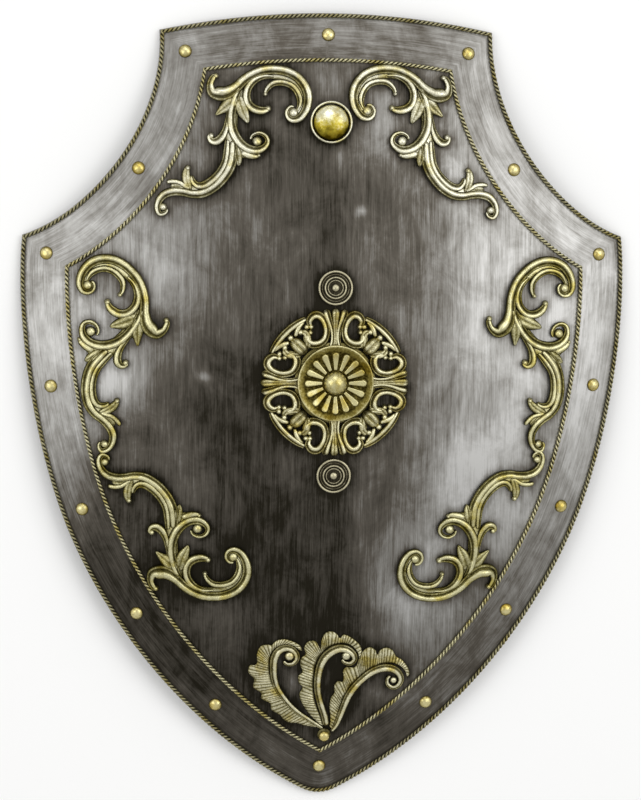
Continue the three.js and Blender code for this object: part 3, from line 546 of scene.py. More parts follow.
# Each stroke: its points, its ridges and the side that its bead is on
scroll_strokes = [
    ([[-7.6, 51.9, 1.1], [-11.2, 49.9, 2.5], [-13.7, 44.2, 3], [-12.3, 38.1, 4.5], [-6.8, 36.5, 6.2],
      [-0.2, 37.2, 5.7], [7.4, 41.8, 4.5], [14.3, 48, 4.1], [21.7, 52.5, 4.1], [30, 55.4, 4.1],
      [39.2, 56, 4.1], [48.3, 54.6, 4.1], [57, 50.4, 4.1], [63.1, 43.6, 4.1], [65.9, 35.9, 4.1],
      [65.6, 28.6, 3.9], [63.2, 22.2, 3.6], [58.8, 16.9, 3.3], [53.5, 15.3, 2.8], [49.6, 17.6, 2.3],
      [48.6, 22, 1.9], [51.2, 25.5, 1.7], [55.2, 25.8, 1.4]], WIDE_AND_BEAD, 1),
    ([[39.1, 50.5, 0.9], [29.9, 50.5, 2.3], [22.1, 47.1, 3.1], [17.2, 41.3, 3.4], [15.7, 34.8, 3.5],
      [17.1, 28.9, 3.6], [21, 24.8, 3.8], [26.5, 23, 3.6], [31, 23.4, 2.8], [34.7, 24.9, 1.7]],
     WIDE_AND_BEAD, -1),
    ([[30.2, 34.4, 1.1], [33, 40.8, 2.1], [38.6, 45.1, 2.7], [46.4, 45.4, 2.8], [53.3, 42.7, 2.8],
      [57.5, 37.7, 2.8], [59.3, 31.8, 2.7], [58.7, 26.8, 1.9], [56.8, 22.4, 0.9]], WIDE_AND_BEAD, 1),
    ([[11.5, 41.9, 2.3], [7.4, 35.2, 3.2], [4.5, 26.5, 3.6], [3.1, 17.4, 3.8], [3.6, 9.2, 4.1],
      [6.6, 1.3, 4.2], [11.9, -5.1, 4], [18.4, -8.7, 3.8], [25, -9, 3.4], [30.2, -6.1, 2.7],
      [32.4, -1.7, 2.1], [30.4, 2.6, 1.9], [25.4, 4.6, 1.6], [20.2, 2.8, 1.2], [18.3, -1.1, 0.9]],
     WIDE_AND_BEAD, -1),
    ([[1.5, 24.7, 0.9], [-0.2, 15.6, 1.9], [-1.9, 7.8, 2.7], [-5.1, 1.5, 3.4], [-9.5, -2.1, 3.6],
      [-13.7, -1.6, 2.7], [-15.3, 1.5, 1.9], [-14, 4, 1.1]], WIDE_AND_BEAD, 1),
    ([[4.6, -0.8, 2.8], [4.5, -9.9, 4], [3.2, -18.5, 4.2], [-0.5, -27, 4], [-6.2, -34.5, 3.9],
      [-12.8, -40.3, 3.8], [-20.9, -44.3, 3.8], [-29.1, -45.1, 3.6], [-36.6, -43.6, 3.5],
      [-44.4, -43.1, 3.6], [-51.7, -45.2, 3.5], [-56.6, -50.4, 3], [-58.2, -56.8, 2.6],
      [-56, -61.3, 2.2], [-51.6, -60.2, 1.6], [-50, -56.8, 1.2]], WIDE_AND_BEAD, -1),
    ([[-0.5, 0.1, 1.9], [-1.3, -9.9, 2.7], [-2.9, -18.6, 2.8], [-6.6, -26, 3], [-12.2, -32.4, 3.2],
      [-19, -37.2, 3.4], [-25.1, -38, 3], [-28.9, -34.5, 2.4], [-30.1, -29.8, 1.5]], WIDE_AND_BEAD, 1),
    ([[-31.3, -43, 2.1], [-33.4, -36.1, 3.5], [-34.5, -29.8, 3.6], [-33.6, -24.5, 2.3],
      [-32.1, -21.5, 0.7]], LEAF, 1),
    ([[-50.6, -35.6, 1.5], [-45.6, -34.9, 2], [-40, -35.8, 2], [-35.6, -38.6, 1.9], [-31.5, -41.2, 1.5]],
     ROUND, 1),
    ([[6.6, 34.4, 5], [2.8, 30, 6], [-1.6, 25.9, 5], [-6, 22.2, 2.8], [-10, 18.9, 0.6]], LEAF, 1),
    ([[9.2, 33.4, 4.2], [10.8, 27.4, 5.6], [12.8, 21.6, 5.2], [15.2, 16.4, 3.2], [16.8, 12.2, 0.7]],
     LEAF, 1),
    ([[5.4, -5, 3.6], [6.6, -11.6, 4.9], [8, -17.6, 3.6], [8.9, -22.4, 0.7]], LEAF, 1),
    ([[9.8, -10.6, 2.5], [15.7, -13.1, 3], [21.9, -14.3, 2.3], [26.8, -13.2, 0.8]], ROUND, 1),
]
# Low webs that join the strokes into one casting
scroll_webs = [
    [[11.5, 41.1, 2.5], [6.9, 31.1, 5.2], [3.8, 20.2, 5], [2.7, 9.2, 5.4], [3.3, 0.1, 5.7],
     [2.2, -9, 5.7], [0.3, -19, 5.2], [-4.4, -27.8, 5], [-11.5, -35.3, 5.2], [-20.9, -40.5, 5.2],
     [-29.1, -41.7, 4.4], [-36, -41.4, 2.8]],
    [[16.2, 46.6, 2.8], [22.6, 50.1, 4.4], [30.9, 52.6, 4.6], [40, 52.8, 4.6], [49.2, 51, 4.6],
     [57.4, 46.5, 4.8], [61.8, 39.5, 5], [62.3, 31.3, 4.6], [60, 24, 3.8], [55.7, 19, 2.5]],
]
# Swelling webs that fill the leaves out between the stem and their tips
leaf_webs = [
    [[8, 37.5, 3.4], [4, 31.5, 6.4], [0.5, 27, 5.8], [-2.5, 23.6, 4], [-5, 21.6, 2]],
    [[9, 36, 3], [9.8, 30, 5.4], [11.2, 24.5, 5.6], [12.8, 19.5, 4], [14.2, 16.4, 2]],
    [[5.5, -4.5, 3], [8, -9.5, 5], [12.8, -11.8, 4.2], [18, -12.6, 2.6]],
    [[-47.5, -39, 2.2], [-42, -39, 3], [-36, -39.4, 3.4], [-31, -40.4, 3.2]],
]
# The balls in the volutes, and the knobs where the small curls end
scroll_balls = [
    (54.2, 21.2, 4.3), (23.9, -2.2, 4.4), (-53.6, -55.6, 3.5),
    (-9.1, 50.9, 2.5), (-13.6, 2.4, 2.7), (33.4, 24.5, 2.6), (31.1, 36.2, 2.1), (-33, -24, 2.4),
    (25, -13.5, 1.9),
]
# The leaves and their webs lie lower than the bands, which run over them
scroll_shells = [bar(points, ridges, SCROLL_FOOT, LEAFLET_SWELL if ridges is LEAF else SCROLL_SWELL, bead)
                 for points, ridges, bead in scroll_strokes]
scroll_shells += [bar(points, ROUND, SCROLL_FOOT - 0.2, 0.04) for points in scroll_webs]
scroll_shells += [bar(points, LEAF, SCROLL_FOOT - 0.1, 0.32) for points in leaf_webs]
scroll_shells += [ball(x, y, radius, SCROLL_FOOT + 3.2) for x, y, radius in scroll_balls]


def laid(shells, x, y, turn=0.0, mirrored=False):
    """Flat-backed shells turned by so many degrees, put at a place and bent to the dome: the height
    of the sheet's front is added to each point's own."""
    angle = np.radians(turn)
    placed = []
    for rings, worn, closed in shells:
        flat = rings[..., :2] * [-1 if mirrored else 1, 1]
        spin = np.array([[np.cos(angle), -np.sin(angle)], [np.sin(angle), np.cos(angle)]])
        flat = flat @ spin.T + [x, y]
        height = rings[..., 2] + front_height(flat[..., 0], flat[..., 1]) + SEAT_GAP
        placed.append((np.concatenate([flat, height[..., None]], 2), worn, closed))
    return joined(placed)


pale_brass = antique_brass("pale_cast_brass", "#26230f", "#837d58", "#ece9d0", 0.36, "#e0d696", 900, 0.14)
olive_brass = antique_brass("olive_cast_brass", "#231f09", "#787140", "#e0dbae", 0.36, "#ddd07c", 900, 0.14)
# Place of the pattern's middle, turn in degrees and whether the casting is the mirrored one
scroll_places = {
    "scroll_top_left": (-83.5, 228.3, 0.5, False),
    "scroll_top_right": (84.5, 228.3, -2.5, True),
    "scroll_side_left": (-178, 52.2, -48.4, True),
    "scroll_side_right": (177.85, 51.2, 45.4, False),
    "scroll_lower_left": (-131.15, -96.4, 179.1, True),
    "scroll_lower_right": (128.5, -97.65, -177.1, False),
}
on_sheet = []
for name, (x, y, turn, mirrored) in scroll_places.items():
    points, worn, faces = laid(scroll_shells, x, y, turn, mirrored)
    on_sheet.append(points)
    finish = pale_brass if "top" in name else olive_brass
    new_piece(name.replace("scroll_", "scroll_casting_"), points, faces, finish, "casting", [name],
              worn=worn)

# The boss
# A pressed button of yellow brass with a slightly mottled lacquer, held in a turned ring under the
# middle of the top edge.

BOSS_DROP, BOSS_SHIFT = 89, 1.5
BEZEL_RADIUS, BEZEL_BAND, BEZEL_RISE = 17.8, 2.2, 4.2
BOSS_RADIUS, BOSS_RISE = 14.9, 9
boss_place = (BOSS_SHIFT, TOP_Y - BOSS_DROP)
round_over = np.linspace(0, np.pi, 9)
band_middle = BEZEL_RADIUS - BEZEL_BAND / 2
bezel_profile = np.vstack([
    [[band_middle - BEZEL_BAND / 2, -SEAT_GAP], [BEZEL_RADIUS, -SEAT_GAP]],
    np.column_stack([
        band_middle + BEZEL_BAND / 2 * np.cos(round_over),
        BEZEL_RISE * (0.45 + 0.55 * np.sin(round_over)),
    ]),
])
bezel_worn = np.r_[0, 0, 0.2 + 0.75 * np.sin(round_over)][:, None]
# The ring's profile closes on itself, so its rings run round the profile and close
bezel_rings = lathe(bezel_profile, 96).transpose(1, 0, 2)
points, worn, faces = joined([(seated(bezel_rings, *boss_place, SEAT_GAP),
                               np.broadcast_to(bezel_worn.T, bezel_rings.shape[:2]), True)])
on_sheet.append(points)
new_piece("boss_ring", points, faces, pale_brass, "casting", ["boss_bezel"], worn=worn)

dome_share = np.linspace(0, np.pi / 2 * 0.985, 20)
boss_profile = np.vstack([
    [BOSS_RADIUS, -SEAT_GAP],
    np.column_stack([BOSS_RADIUS * np.cos(dome_share), BOSS_RISE * (0.1 + 0.9 * np.sin(dome_share) ** 1.1)]),
])
# The upper side is painted lighter and the lower side darker, a painted highlight and shade of light
# from above, and the button darkens all round towards its rim
boss_rings = lathe(boss_profile, 96)
boss_painted_light_and_rim = 0.62 + 0.5 * boss_rings[..., 1] / BOSS_RADIUS
boss_painted_light_and_rim -= 0.3 * (np.hypot(boss_rings[..., 0], boss_rings[..., 1]) / BOSS_RADIUS) ** 5
yellow_brass = antique_brass("yellow_boss_brass", "#5a4f0e", "#b9a93c", "#fbf8d6", 0.3, "#d8c24a", 230, 0.5)
points, worn, faces = joined([(seated(knocked(boss_rings, 0.1), *boss_place, SEAT_GAP), boss_painted_light_and_rim, False)])
new_piece("boss_button", points, faces, yellow_brass, "button", ["boss_dome"], worn=worn)

# The rosette
# A pierced cast ring of C-scrolls, fans, arcs and buds, a dish chased with sixteen petals on its
# collar, and a round stud that rivets them both to the sheet. The dish is warmer than the ring.

ROSETTE_SHIFT, ROSETTE_DROP = 5, 302
RING_FOOT, RING_SWELL = 2, 1.2
COLLAR_INNER, COLLAR_OUTER, COLLAR_RISE = 25.9, 33.9, 2.6
DISH_RADIUS, DISH_RISE, DISH_DEPTH, DISH_LIP = 31.5, 5.5, 3.4, 6
PETALS, PETAL_RISE, PETAL_ROOT = 16, 1.5, 10.7
STUD_RADIUS, STUD_RISE = 9.7, 8.4
rosette_place = (ROSETTE_SHIFT, TOP_Y - ROSETTE_DROP)


def turned_points(points, degrees, mirrored=False):
    """(x, y, half width) points turned about the middle, after a mirror left to right if asked."""
    turn = np.radians(degrees)
    x, y, half = (np.array(points, float) * [-1 if mirrored else 1, 1, 1]).T
    return np.column_stack([x * np.cos(turn) - y * np.sin(turn), x * np.sin(turn) + y * np.cos(turn), half])


ring_scroll = [[-20.2, 46.4, 1.6], [-21.9, 50.8, 2.9], [-19.3, 55.2, 3.5], [-14.9, 56.2, 3.6],
               [-10.9, 53.4, 3.4], [-8.2, 48, 3], [-7.4, 41.9, 2.9], [-9.2, 36, 3.2],
               [-13.7, 32.5, 3.6], [-19.3, 32, 3.7], [-23.3, 34.8, 3.2], [-23.8, 38.9, 2.8],
               [-20.8, 41.6, 1.6]]
fan_flute = [[-4.2, 28.3, 2.1], [-2.7, 34.3, 1.8], [-2.5, 40.4, 1.9], [-3.6, 46.4, 2.3],
             [-6.1, 53.4, 3.1], [-8.2, 60.6, 3.4]]
fan_leaf = [[0, 30, 1.6], [0, 40, 1.7], [0, 48, 2.4], [0, 57, 3.6], [0, 61.6, 2.8]]
arc_angles = np.radians(np.linspace(114, 156, 8))
ring_arc = np.column_stack([
    58.6 * np.cos(arc_angles), 58.6 * np.sin(arc_angles), [1.8, 2.6, 2.9, 3, 3, 2.9, 2.6, 1.8],
])
# The bud stands upright here and is turned to the diagonal
bud_leaf = [[0, 34, 4.4], [0, 38, 5.4], [0, 43, 5.8], [0, 48, 5], [0, 51.5, 3.2]]
bud_arm = [[-3, 36, 2.6], [-8.2, 40.5, 3.4], [-11.4, 45.5, 3.2], [-10.4, 50.5, 2.2]]
bud_curl = [[-3, 50, 1.6], [-8, 53, 2.4], [-13, 54.5, 2.2], [-18, 54.4, 1.4]]


def ring_bar(points, ridges):
    """A bar of the ring's own foot and swell."""
    return bar(points, ridges, RING_FOOT, RING_SWELL)


ring_shells = []
for quarter in range(0, 360, 90):
    for mirrored in (False, True):
        scroll = turned_points(ring_scroll, quarter, mirrored)
        ring_shells.append(bar(scroll, WIDE_AND_BEAD, RING_FOOT, RING_SWELL, 1 if mirrored else -1))
        for end, radius in ((scroll[0], 2.5), (scroll[-1], 2.5)):
            ring_shells.append(ball(end[0], end[1], radius, RING_FOOT + 3))
        ring_shells.append(ring_bar(turned_points(fan_flute, quarter, mirrored), WIDE_AND_BEAD))
        ring_shells.append(ring_bar(turned_points(bud_arm, quarter + 45, mirrored), LEAF))
        ring_shells.append(ring_bar(turned_points(bud_curl, quarter + 45, mirrored), ROUND))
        for x, y, radius in turned_points([[-9, 50, 2.9], [-15.8, 49.6, 2.6]], quarter + 45, mirrored):
            ring_shells.append(ball(x, y, radius, RING_FOOT + 2.8))
    ring_shells.append(ring_bar(turned_points(fan_leaf, quarter), LEAF))
    ring_shells.append(ring_bar(turned_points(bud_leaf, quarter + 45), LEAF))
    ring_shells.append(ball(*turned_points([[0, 52.6, 3]], quarter + 45)[0], RING_FOOT + 2.8))
    ring_shells.append(ring_bar(turned_points(ring_arc, quarter), WIDE_AND_BEAD))
collar_profile = [[COLLAR_INNER, -SEAT_GAP], [COLLAR_OUTER, -SEAT_GAP], [COLLAR_OUTER, COLLAR_RISE * 0.7],
                  [COLLAR_OUTER - 0.6, COLLAR_RISE], [COLLAR_INNER, COLLAR_RISE]]
collar_rings = lathe(collar_profile, 96).transpose(1, 0, 2)
ring_shells.append((collar_rings, np.broadcast_to([0, 0, 0.3, 0.4, 0.1], collar_rings.shape[:2]), True))
points, worn, faces = laid(ring_shells, *rosette_place)
on_sheet.append(points)
golden_brass = antique_brass("golden_cast_brass", "#28220d", "#837a49", "#e8e3bc", 0.35, "#ddce78",
                             900, 0.14)
new_piece("rosette_openwork", points, faces, golden_brass, "casting", ["rosette_ring"], worn=worn)


def petalled_dish():
    """Rings from the middle of the back, round the lip and down to the floor. The floor is a shallow
    bowl, and each petal is a rounded rib on it: the square root of a cosine across the petal, let in
    at its root and rounded off at its end."""
    angle = 2 * np.pi * np.arange(320) / 320
    floor = DISH_RISE - DISH_DEPTH
    inner = np.linspace(30, PETAL_ROOT - 1, 44)
    radius = np.r_[0.3, 29.5, 31.1, DISH_RADIUS, DISH_RADIUS, 31.2, 30.6, inner, 0.3]
    height = np.r_[0, 0, 0.2, 0.9, 4.9, 5.4, DISH_RISE, np.zeros(44), floor]
    bowl = slice(7, 51)
    inward = (30 - radius[bowl]) / (30 - PETAL_ROOT)
    height[bowl] = floor + (DISH_RISE - floor - 0.15) * (1 - np.clip(inward, 0, 1)) ** 1.6
    across = np.cos(PETALS * angle)
    end = DISH_RADIUS - DISH_LIP
    share = np.broadcast_to((radius[:, None] - PETAL_ROOT) / (end - PETAL_ROOT), (len(radius), len(angle)))
    # A petal narrows to a round end: its half width in the wave goes down as the end comes near
    tip_round = np.sqrt(np.clip(1 - np.clip((share - 0.8) / 0.2, 0, 1) ** 2, 0, 1))
    rib = np.clip((across + 0.62) / 0.9 - (1 - tip_round) * 1.6, 0, 1) ** 0.5
    rib *= np.clip((share + 0.02) / 0.05, 0, 1) * (share < 1)
    top = np.broadcast_to(height[:, None], rib.shape).copy()
    top[bowl] += PETAL_RISE * rib[bowl]
    rings = np.stack([radius[:, None] * np.cos(angle), radius[:, None] * np.sin(angle), top], -1)
    worn = np.full(rib.shape, 0.05)
    worn[3:7] = [[0.3], [0.6], [0.9], [0.75]]
    ground = np.interp(radius[bowl], [PETAL_ROOT, end, 27.5, 30], [0.1, 0.12, 0.36, 0.5])[:, None]
    worn[bowl] = np.maximum(ground, 0.1 + 0.85 * rib[bowl] ** 1.5)
    return rings, worn, False


dish_brass = antique_brass("dish_brass", "#30280b", "#83773b", "#d8d09c", 0.36, "#ddcb6c", 600)
dish_lift = SEAT_GAP + COLLAR_RISE
rings, worn, closed = petalled_dish()
points, worn, faces = joined([(seated(rings, *rosette_place, dish_lift), worn, closed)])
new_piece("petalled_dish", points, faces, dish_brass, "dish", ["rosette_dish"], worn=worn)

stud_profile = np.vstack([
    [STUD_RADIUS * 0.96, 0],
    np.column_stack([STUD_RADIUS * np.cos(dome_share), STUD_RISE * (0.06 + 0.94 * np.sin(dome_share))]),
])
stud_worn = np.r_[0, 0.3 + 0.6 * np.sin(dome_share) ** 0.6][:, None]
stud_lift = dish_lift + DISH_RISE - DISH_DEPTH
points, worn, faces = joined([(seated(knocked(lathe(stud_profile, 64), 0.15), *rosette_place, stud_lift),
                               stud_worn, False)])
new_piece("round_stud", points, faces, dish_brass, "dish", ["rosette_stud"], worn=worn)

# The discs
# Two small castings turned with rings like a target, pinned in line with the rosette above and
# below it. They took the dark wash almost all over, and only their rings are rubbed bright.

DISC_RADIUS, DISC_RISE = 14.7, 2.8
RING_RADIUS, DISC_GAP = 62.25, 1.2
DISC_REACH = RING_RADIUS + DISC_GAP + DISC_RADIUS
# Each ring is a half round: (middle radius, half width, rise)
disc_rings = [(13.5, 1.2, 1.0), (11.1, 0.6, 0.6), (8.6, 1.0, 0.95), (6.2, 0.8, 0.8), (0, 3.4, 1.25)]
disc_radius = np.r_[DISC_RADIUS * 0.99, np.linspace(DISC_RADIUS, 0.15, 90)]
disc_level = np.max([np.sqrt(np.clip(1 - ((disc_radius - middle) / wide) ** 2, 0, 1)) * high
                     for middle, wide, high in disc_rings], 0)
disc_height = DISC_RISE * (0.3 + 0.7 * disc_level)
disc_height[0] = -SEAT_GAP
disc_worn = 0.16 + 0.75 * np.clip(disc_level, 0, 1) ** 1.5
disc_worn[0] = 0
disc_brass = antique_brass("washed_disc_brass", "#28241d", "#5f5945", "#c8c1a2", 0.4)
for name, way in (("target_disc_upper", 1), ("target_disc_lower", -1)):
    rings = lathe(np.column_stack([disc_radius, disc_height]), 96)
    place = (rosette_place[0], rosette_place[1] + way * DISC_REACH)
    points, worn, faces = joined([(seated(rings, *place, SEAT_GAP), disc_worn[:, None], False)])
    on_sheet.append(points)
    new_piece(name.replace("target_disc", "ringed_disc"), points, faces, disc_brass, "casting", [name],
              worn=worn)

# The leaf spray
# One casting of three acanthus plumes out of one foot, under its own nail at the point of the field.
# Each has a smooth rib that curls over into a volute, and a veined and lobed blade along its left.

LEAF_SHIFT, LEAF_SETBACK = 3, 14.5
LEAF_FOOT, LEAF_SWELL = 1.8, 0.75
VEIN_SPACING, VEIN_RISE = 3.1, 0.6
leaf_nail_place = (LEAF_SHIFT, wire_loop[:, 1].min() + LEAF_SETBACK)
# Points from the nail: each rib (x, y, half width), its volute's bead (x, y, radius), and its blade's
# veins, each from the rib out to the lobed edge (x, y, edge x, edge y)
plumes = [
    dict(
        rib=[[-1.2, 5.6, 1.3], [-7.6, 10, 1.7], [-14.7, 14.8, 1.9], [-22.5, 20.4, 2.1], [-30, 27.4, 2.3],
             [-36.4, 35.5, 2.4], [-41.3, 43.4, 2.6], [-43.9, 51.9, 2.9], [-44.8, 61.3, 3.2],
             [-44.2, 69.7, 3.4], [-41.1, 76.2, 3.4], [-35.5, 79.1, 3.2], [-29.7, 78, 2.9],
             [-25.6, 73.4, 2.5], [-25.3, 68.7, 2.2], [-28.4, 64.9, 1.8], [-33.3, 64.5, 1.5],
             [-36.7, 67.3, 1.1]],
        bead=(-31.4, 71.7, 4.3),
        veins=[[-4.1, 8.1, -8.3, 7], [-9.9, 11.7, -17.4, 8.7], [-14.7, 14.8, -23.1, 10.8],
               [-19.6, 18.4, -30.2, 11.5], [-24.4, 21.9, -35.3, 14.6], [-28.3, 25.2, -38, 18.2],
               [-31.7, 28.9, -45.4, 23.2], [-35.1, 32.7, -46.7, 28.9], [-38.5, 37.5, -54.1, 33.2],
               [-41.1, 41.7, -54.5, 38.4], [-43.3, 45.9, -61.1, 43.5], [-45.4, 49.9, -60.7, 50.8],
               [-46.7, 54.4, -65.7, 57.2], [-47.6, 58.3, -64.7, 63], [-48, 61.8, -58.9, 64.6],
               [-48.2, 65.3, -58.8, 73.6], [-48, 68.7, -55.8, 80.4], [-47.3, 72, -49.4, 81.8],
               [-46.3, 74.7, -46.8, 81.3], [-43.9, 77.9, -43.4, 85], [-40.1, 80.3, -36.5, 86.8],
               [-34.9, 81.7, -28.2, 84.3], [-29.8, 81.1, -22.7, 80.9], [-25, 78.2, -20.7, 76.4]]),
    dict(
        rib=[[1.4, 8.1, 2.6], [-0.1, 16.2, 2.9], [-3.1, 25.3, 2.8], [-5.7, 34.3, 2.8], [-7.2, 43.3, 3],
             [-7, 53.3, 3.2], [-5.2, 63.2, 3.6], [-1.3, 70.9, 4], [4.4, 76, 4], [10.9, 78.3, 3.8],
             [17.4, 77.1, 3.4], [22.5, 72.6, 2.9], [23.6, 67.8, 2.4], [20.1, 64.5, 2],
             [15.1, 65.6, 1.5], [12.9, 68.5, 1]],
        bead=(16.7, 71.4, 4.2),
        veins=[[-0.8, 8.1, -5.1, 10.2], [-2.9, 15.2, -11, 16.3], [-5.5, 22.3, -16.4, 23.4],
               [-7.8, 28.3, -20.4, 30.4], [-9.2, 33.4, -22.2, 37.4], [-10, 38.4, -19.8, 43.4],
               [-10.4, 43.4, -22.8, 47.4], [-10.6, 48.4, -23.6, 53.4], [-10.4, 53.3, -20.2, 57.4],
               [-9.9, 58.3, -22, 63.3], [-9.4, 62.3, -22, 69.3], [-8.2, 66, -18.1, 73.2],
               [-6.9, 68.7, -19.4, 79.1], [-5.8, 70.9, -15.8, 84.5], [-4.7, 72.7, -9.7, 84.5],
               [-3.5, 74.5, -5.7, 78.5], [-1.9, 76.2, -4.7, 85.9], [0.4, 78.5, -1.4, 92],
               [3.6, 80.4, 4.2, 93.2], [6.9, 81.7, 8.5, 90.5], [9.7, 82.3, 10.5, 87.5],
               [13.5, 82.5, 14.6, 90.4], [18.2, 81.4, 21.9, 86.6], [22.6, 78.4, 27.7, 81.1],
               [26, 73.7, 29.6, 75.6], [27.3, 69.7, 28.8, 70.2]]),
    dict(
        rib=[[5.9, 2.9, 1.3], [9.9, 8.9, 2.1], [13.2, 18, 2.7], [16.2, 27, 3], [19.8, 36, 3.2],
             [25.2, 44.4, 3.2], [32.1, 51.5, 3.2], [39.5, 57, 3.4], [47.5, 59.8, 3.6], [55.1, 59.5, 3.5],
             [61.3, 55.8, 3.1], [64.3, 49.9, 2.6], [62.6, 44.2, 2.3], [57.7, 41.8, 1.9],
             [53, 44.8, 1.6], [52.4, 49.7, 1.3], [55, 52.8, 0.9]],
        bead=(57.9, 48.6, 3.2),
        veins=[[6.9, 4.9, 4.5, 7], [10, 13, 4.7, 16.1], [11.9, 19, 3.7, 25.2], [13.2, 24, 4.6, 33.2],
               [14.2, 28, 7.4, 38.2], [15.2, 32, 7.3, 44.2], [16.7, 35.5, 10, 48.6],
               [18.2, 38.5, 14.1, 48.1], [19.5, 41, 14.9, 51.6], [21.3, 43.8, 14.4, 58],
               [23.6, 46.6, 17.4, 61.5], [26.4, 49.6, 22.7, 60.9], [28.7, 51.8, 25.4, 62.8],
               [31, 54, 28.2, 70.7], [33.8, 56.4, 31.7, 76.1], [37, 58.6, 36.8, 78.6],
               [39.8, 60.5, 41.2, 75.9], [42.2, 61.5, 43.4, 71.9], [45.5, 62.6, 45.5, 75.8],
               [49.7, 63.5, 50.7, 77.8], [54, 63.9, 56, 75.5], [57.9, 63.3, 59.4, 70],
               [61.8, 61.5, 64.5, 66.6], [65.3, 58.7, 69.5, 60.2], [67.8, 55.3, 71.5, 54.2],
               [68.7, 51.8, 70.1, 51.2]]),
]


def blade(veins):
    """A blade whose every section is a vein. It is crowned by a sine from rib to edge, and rounded
    ridges run along the veins: the 0.6 power of a sine whose half wave is the vein spacing, measured
    along the edge and swayed a little."""
    edge_first = smooth_path(np.array(veins)[:, [2, 3, 0, 1]], 0.45)
    edge, root = edge_first[:, :2], edge_first[:, 2:]
    gone = np.r_[0, np.cumsum(np.linalg.norm(np.diff(edge, axis=0), axis=1))]
    out = np.linspace(0, 1, 12)
    ridge = np.abs(np.sin(np.pi * (gone + 1.1 * np.sin(gone / 4.3)) / VEIN_SPACING))[:, None] ** 0.6
    fade = np.clip(out / 0.15, 0, 1) * np.sqrt(np.clip((1.04 - out) / 0.25, 0, 1))
    crown = LEAF_FOOT * (0.62 + 0.38 * np.sin(np.pi * np.clip(out * 0.9 + 0.1, 0, 1)))
    top = crown + VEIN_RISE * ridge * fade
    flat = root[:, None] + out[None, :, None] * (edge - root)[:, None]
    flat = np.concatenate([flat[:, :1], flat, flat[:, -1:]], 1)
    under = np.full((len(top), 1), -SEAT_GAP)
    height = np.hstack([under, top, under])
    worn = np.hstack([0 * under, 0.2 + 0.6 * ridge**1.4 * fade, 0 * under])
    return np.concatenate([flat, height[..., None]], 2), worn, False


leaf_shells = []
for plume in plumes:
    leaf_shells.append(blade(plume["veins"]))
    leaf_shells.append(bar(plume["rib"], WIDE_AND_BEAD, LEAF_FOOT, LEAF_SWELL, -1))
    leaf_shells.append(ball(*plume["bead"], LEAF_FOOT + 2.2))
foot_profile = [[0.2, LEAF_FOOT], [5, LEAF_FOOT], [5.6, LEAF_FOOT * 0.7], [5.7, -SEAT_GAP], [0.2, -SEAT_GAP]]
leaf_shells.append((lathe(foot_profile, 32), 0.3, False))
points, worn, faces = laid(leaf_shells, *leaf_nail_place)
on_sheet.append(points)
leaf_brass = antique_brass("leaf_cast_brass", "#2c2716", "#878056", "#eee9c6", 0.37, "#dccb66", 700, 0.16)
new_piece("acanthus_spray", points, faces, leaf_brass, "casting", ["leaf_spray"], worn=worn)

# The dark wash, with painted shade and light
# It was brushed over the finished shield and wiped off with a rag, which couldn't reach close to the
# ornaments, and the darkening close to them is also a painted shade of the ornaments on the sheet. It
# also stayed on wherever the wiping was lazy, and was rubbed through elsewhere, and these broad dark
# and bright patches also paint the lamps' reflections on the sheet.

CELL = 2.0
# Passes of the rag, which also paint the lamps' dark and bright reflections on the sheet, and three
# bright nicks: (x, y, reach across, reach along, change in wash)
rag_and_light_passes = [
    (-70, 60, 75, 170, 0.3), (10, -190, 150, 95, 0.36), (0, 210, 60, 55, 0.2), (-150, -110, 60, 90, 0.2),
    (150, 110, 60, 115, -0.29), (210, 60, 30, 120, -0.22), (-140, 150, 60, 70, -0.2),
    (-232, 60, 26, 110, -0.2), (235, 60, 24, 90, -0.04), (120, 0, 45, 90, -0.1), (72, 80, 26, 120, 0.22),
    (-190, -160, 30, 60, 0.1), (110, -150, 60, 70, -0.22), (0, 318, 90, 16, -0.06),
    (-120, 285, 60, 40, -0.12), (-145, 215, 32, 60, -0.13), (185, 200, 50, 50, 0.12),
    (10, -150, 60, 60, 0.1), (115, 220, 40, 50, -0.14), (-205, -10, 25, 50, -0.14), (-182, 38, 24, 40, -0.5),
    (-155, 112, 38, 35, -0.17), (-122, -78, 22, 32, -0.28), (-90, 8, 22, 40, 0.15), (128, -70, 26, 30, -0.5),
    (72, -148, 24, 34, -0.62), (-88, -160, 18, 24, -0.4), (-18, -231, 14, 12, -0.5),
    (-118, -100, 18, 14, -0.3), (60, -238, 16, 12, -0.3), (46, 235, 20, 24, -0.3), (104, 196, 10, 14, -0.3),
    (184, 66, 12, 18, -0.3), (-10, 262, 60, 16, -0.15), (26, 170, 3, 3, -0.5), (-103, 33, 5, 3, -0.4),
    (8, 216, 3, 5, -0.3),
]


def bell(width, cells):
    """A row of a bell curve of that width in cells, of sum 1."""
    at = np.arange(-cells, cells + 1)
    row = np.exp(-0.5 * (at / width) ** 2)
    return row / row.sum()


def blurred(grid, width):
    """The grid blurred by a bell curve along rows and then along columns."""
    row = bell(width, int(3 * width))
    grid = np.apply_along_axis(np.convolve, 0, grid, row, "same")
    return np.apply_along_axis(np.convolve, 1, grid, row, "same")


corner = SHEET_LOW[:2] - 20
shape = np.ceil((SHEET_HIGH[:2] - SHEET_LOW[:2] + 40) / CELL).astype(int)
covered = np.zeros(shape)
for points in on_sheet:
    cell = ((points[:, :2] - corner) / CELL).astype(int)
    covered[cell[:, 0], cell[:, 1]] = 1
# Darker close to the ornaments: the wash left there, and a painted shade of the ornaments on the sheet
near = np.clip(1.1 * blurred(covered, 2.5 / CELL) + 1.1 * blurred(covered, 9.0 / CELL), 0, 1)
cell = ((sheet_points[:, :2] - corner) / CELL).astype(int)
wash = 0.45 + 0.36 * near[cell[:, 0], cell[:, 1]]
for x, y, across, along, change in rag_and_light_passes:
    away = ((sheet_points[:, 0] - x) / across) ** 2 + ((sheet_points[:, 1] - y) / along) ** 2
    wash += change * np.exp(-0.5 * away)
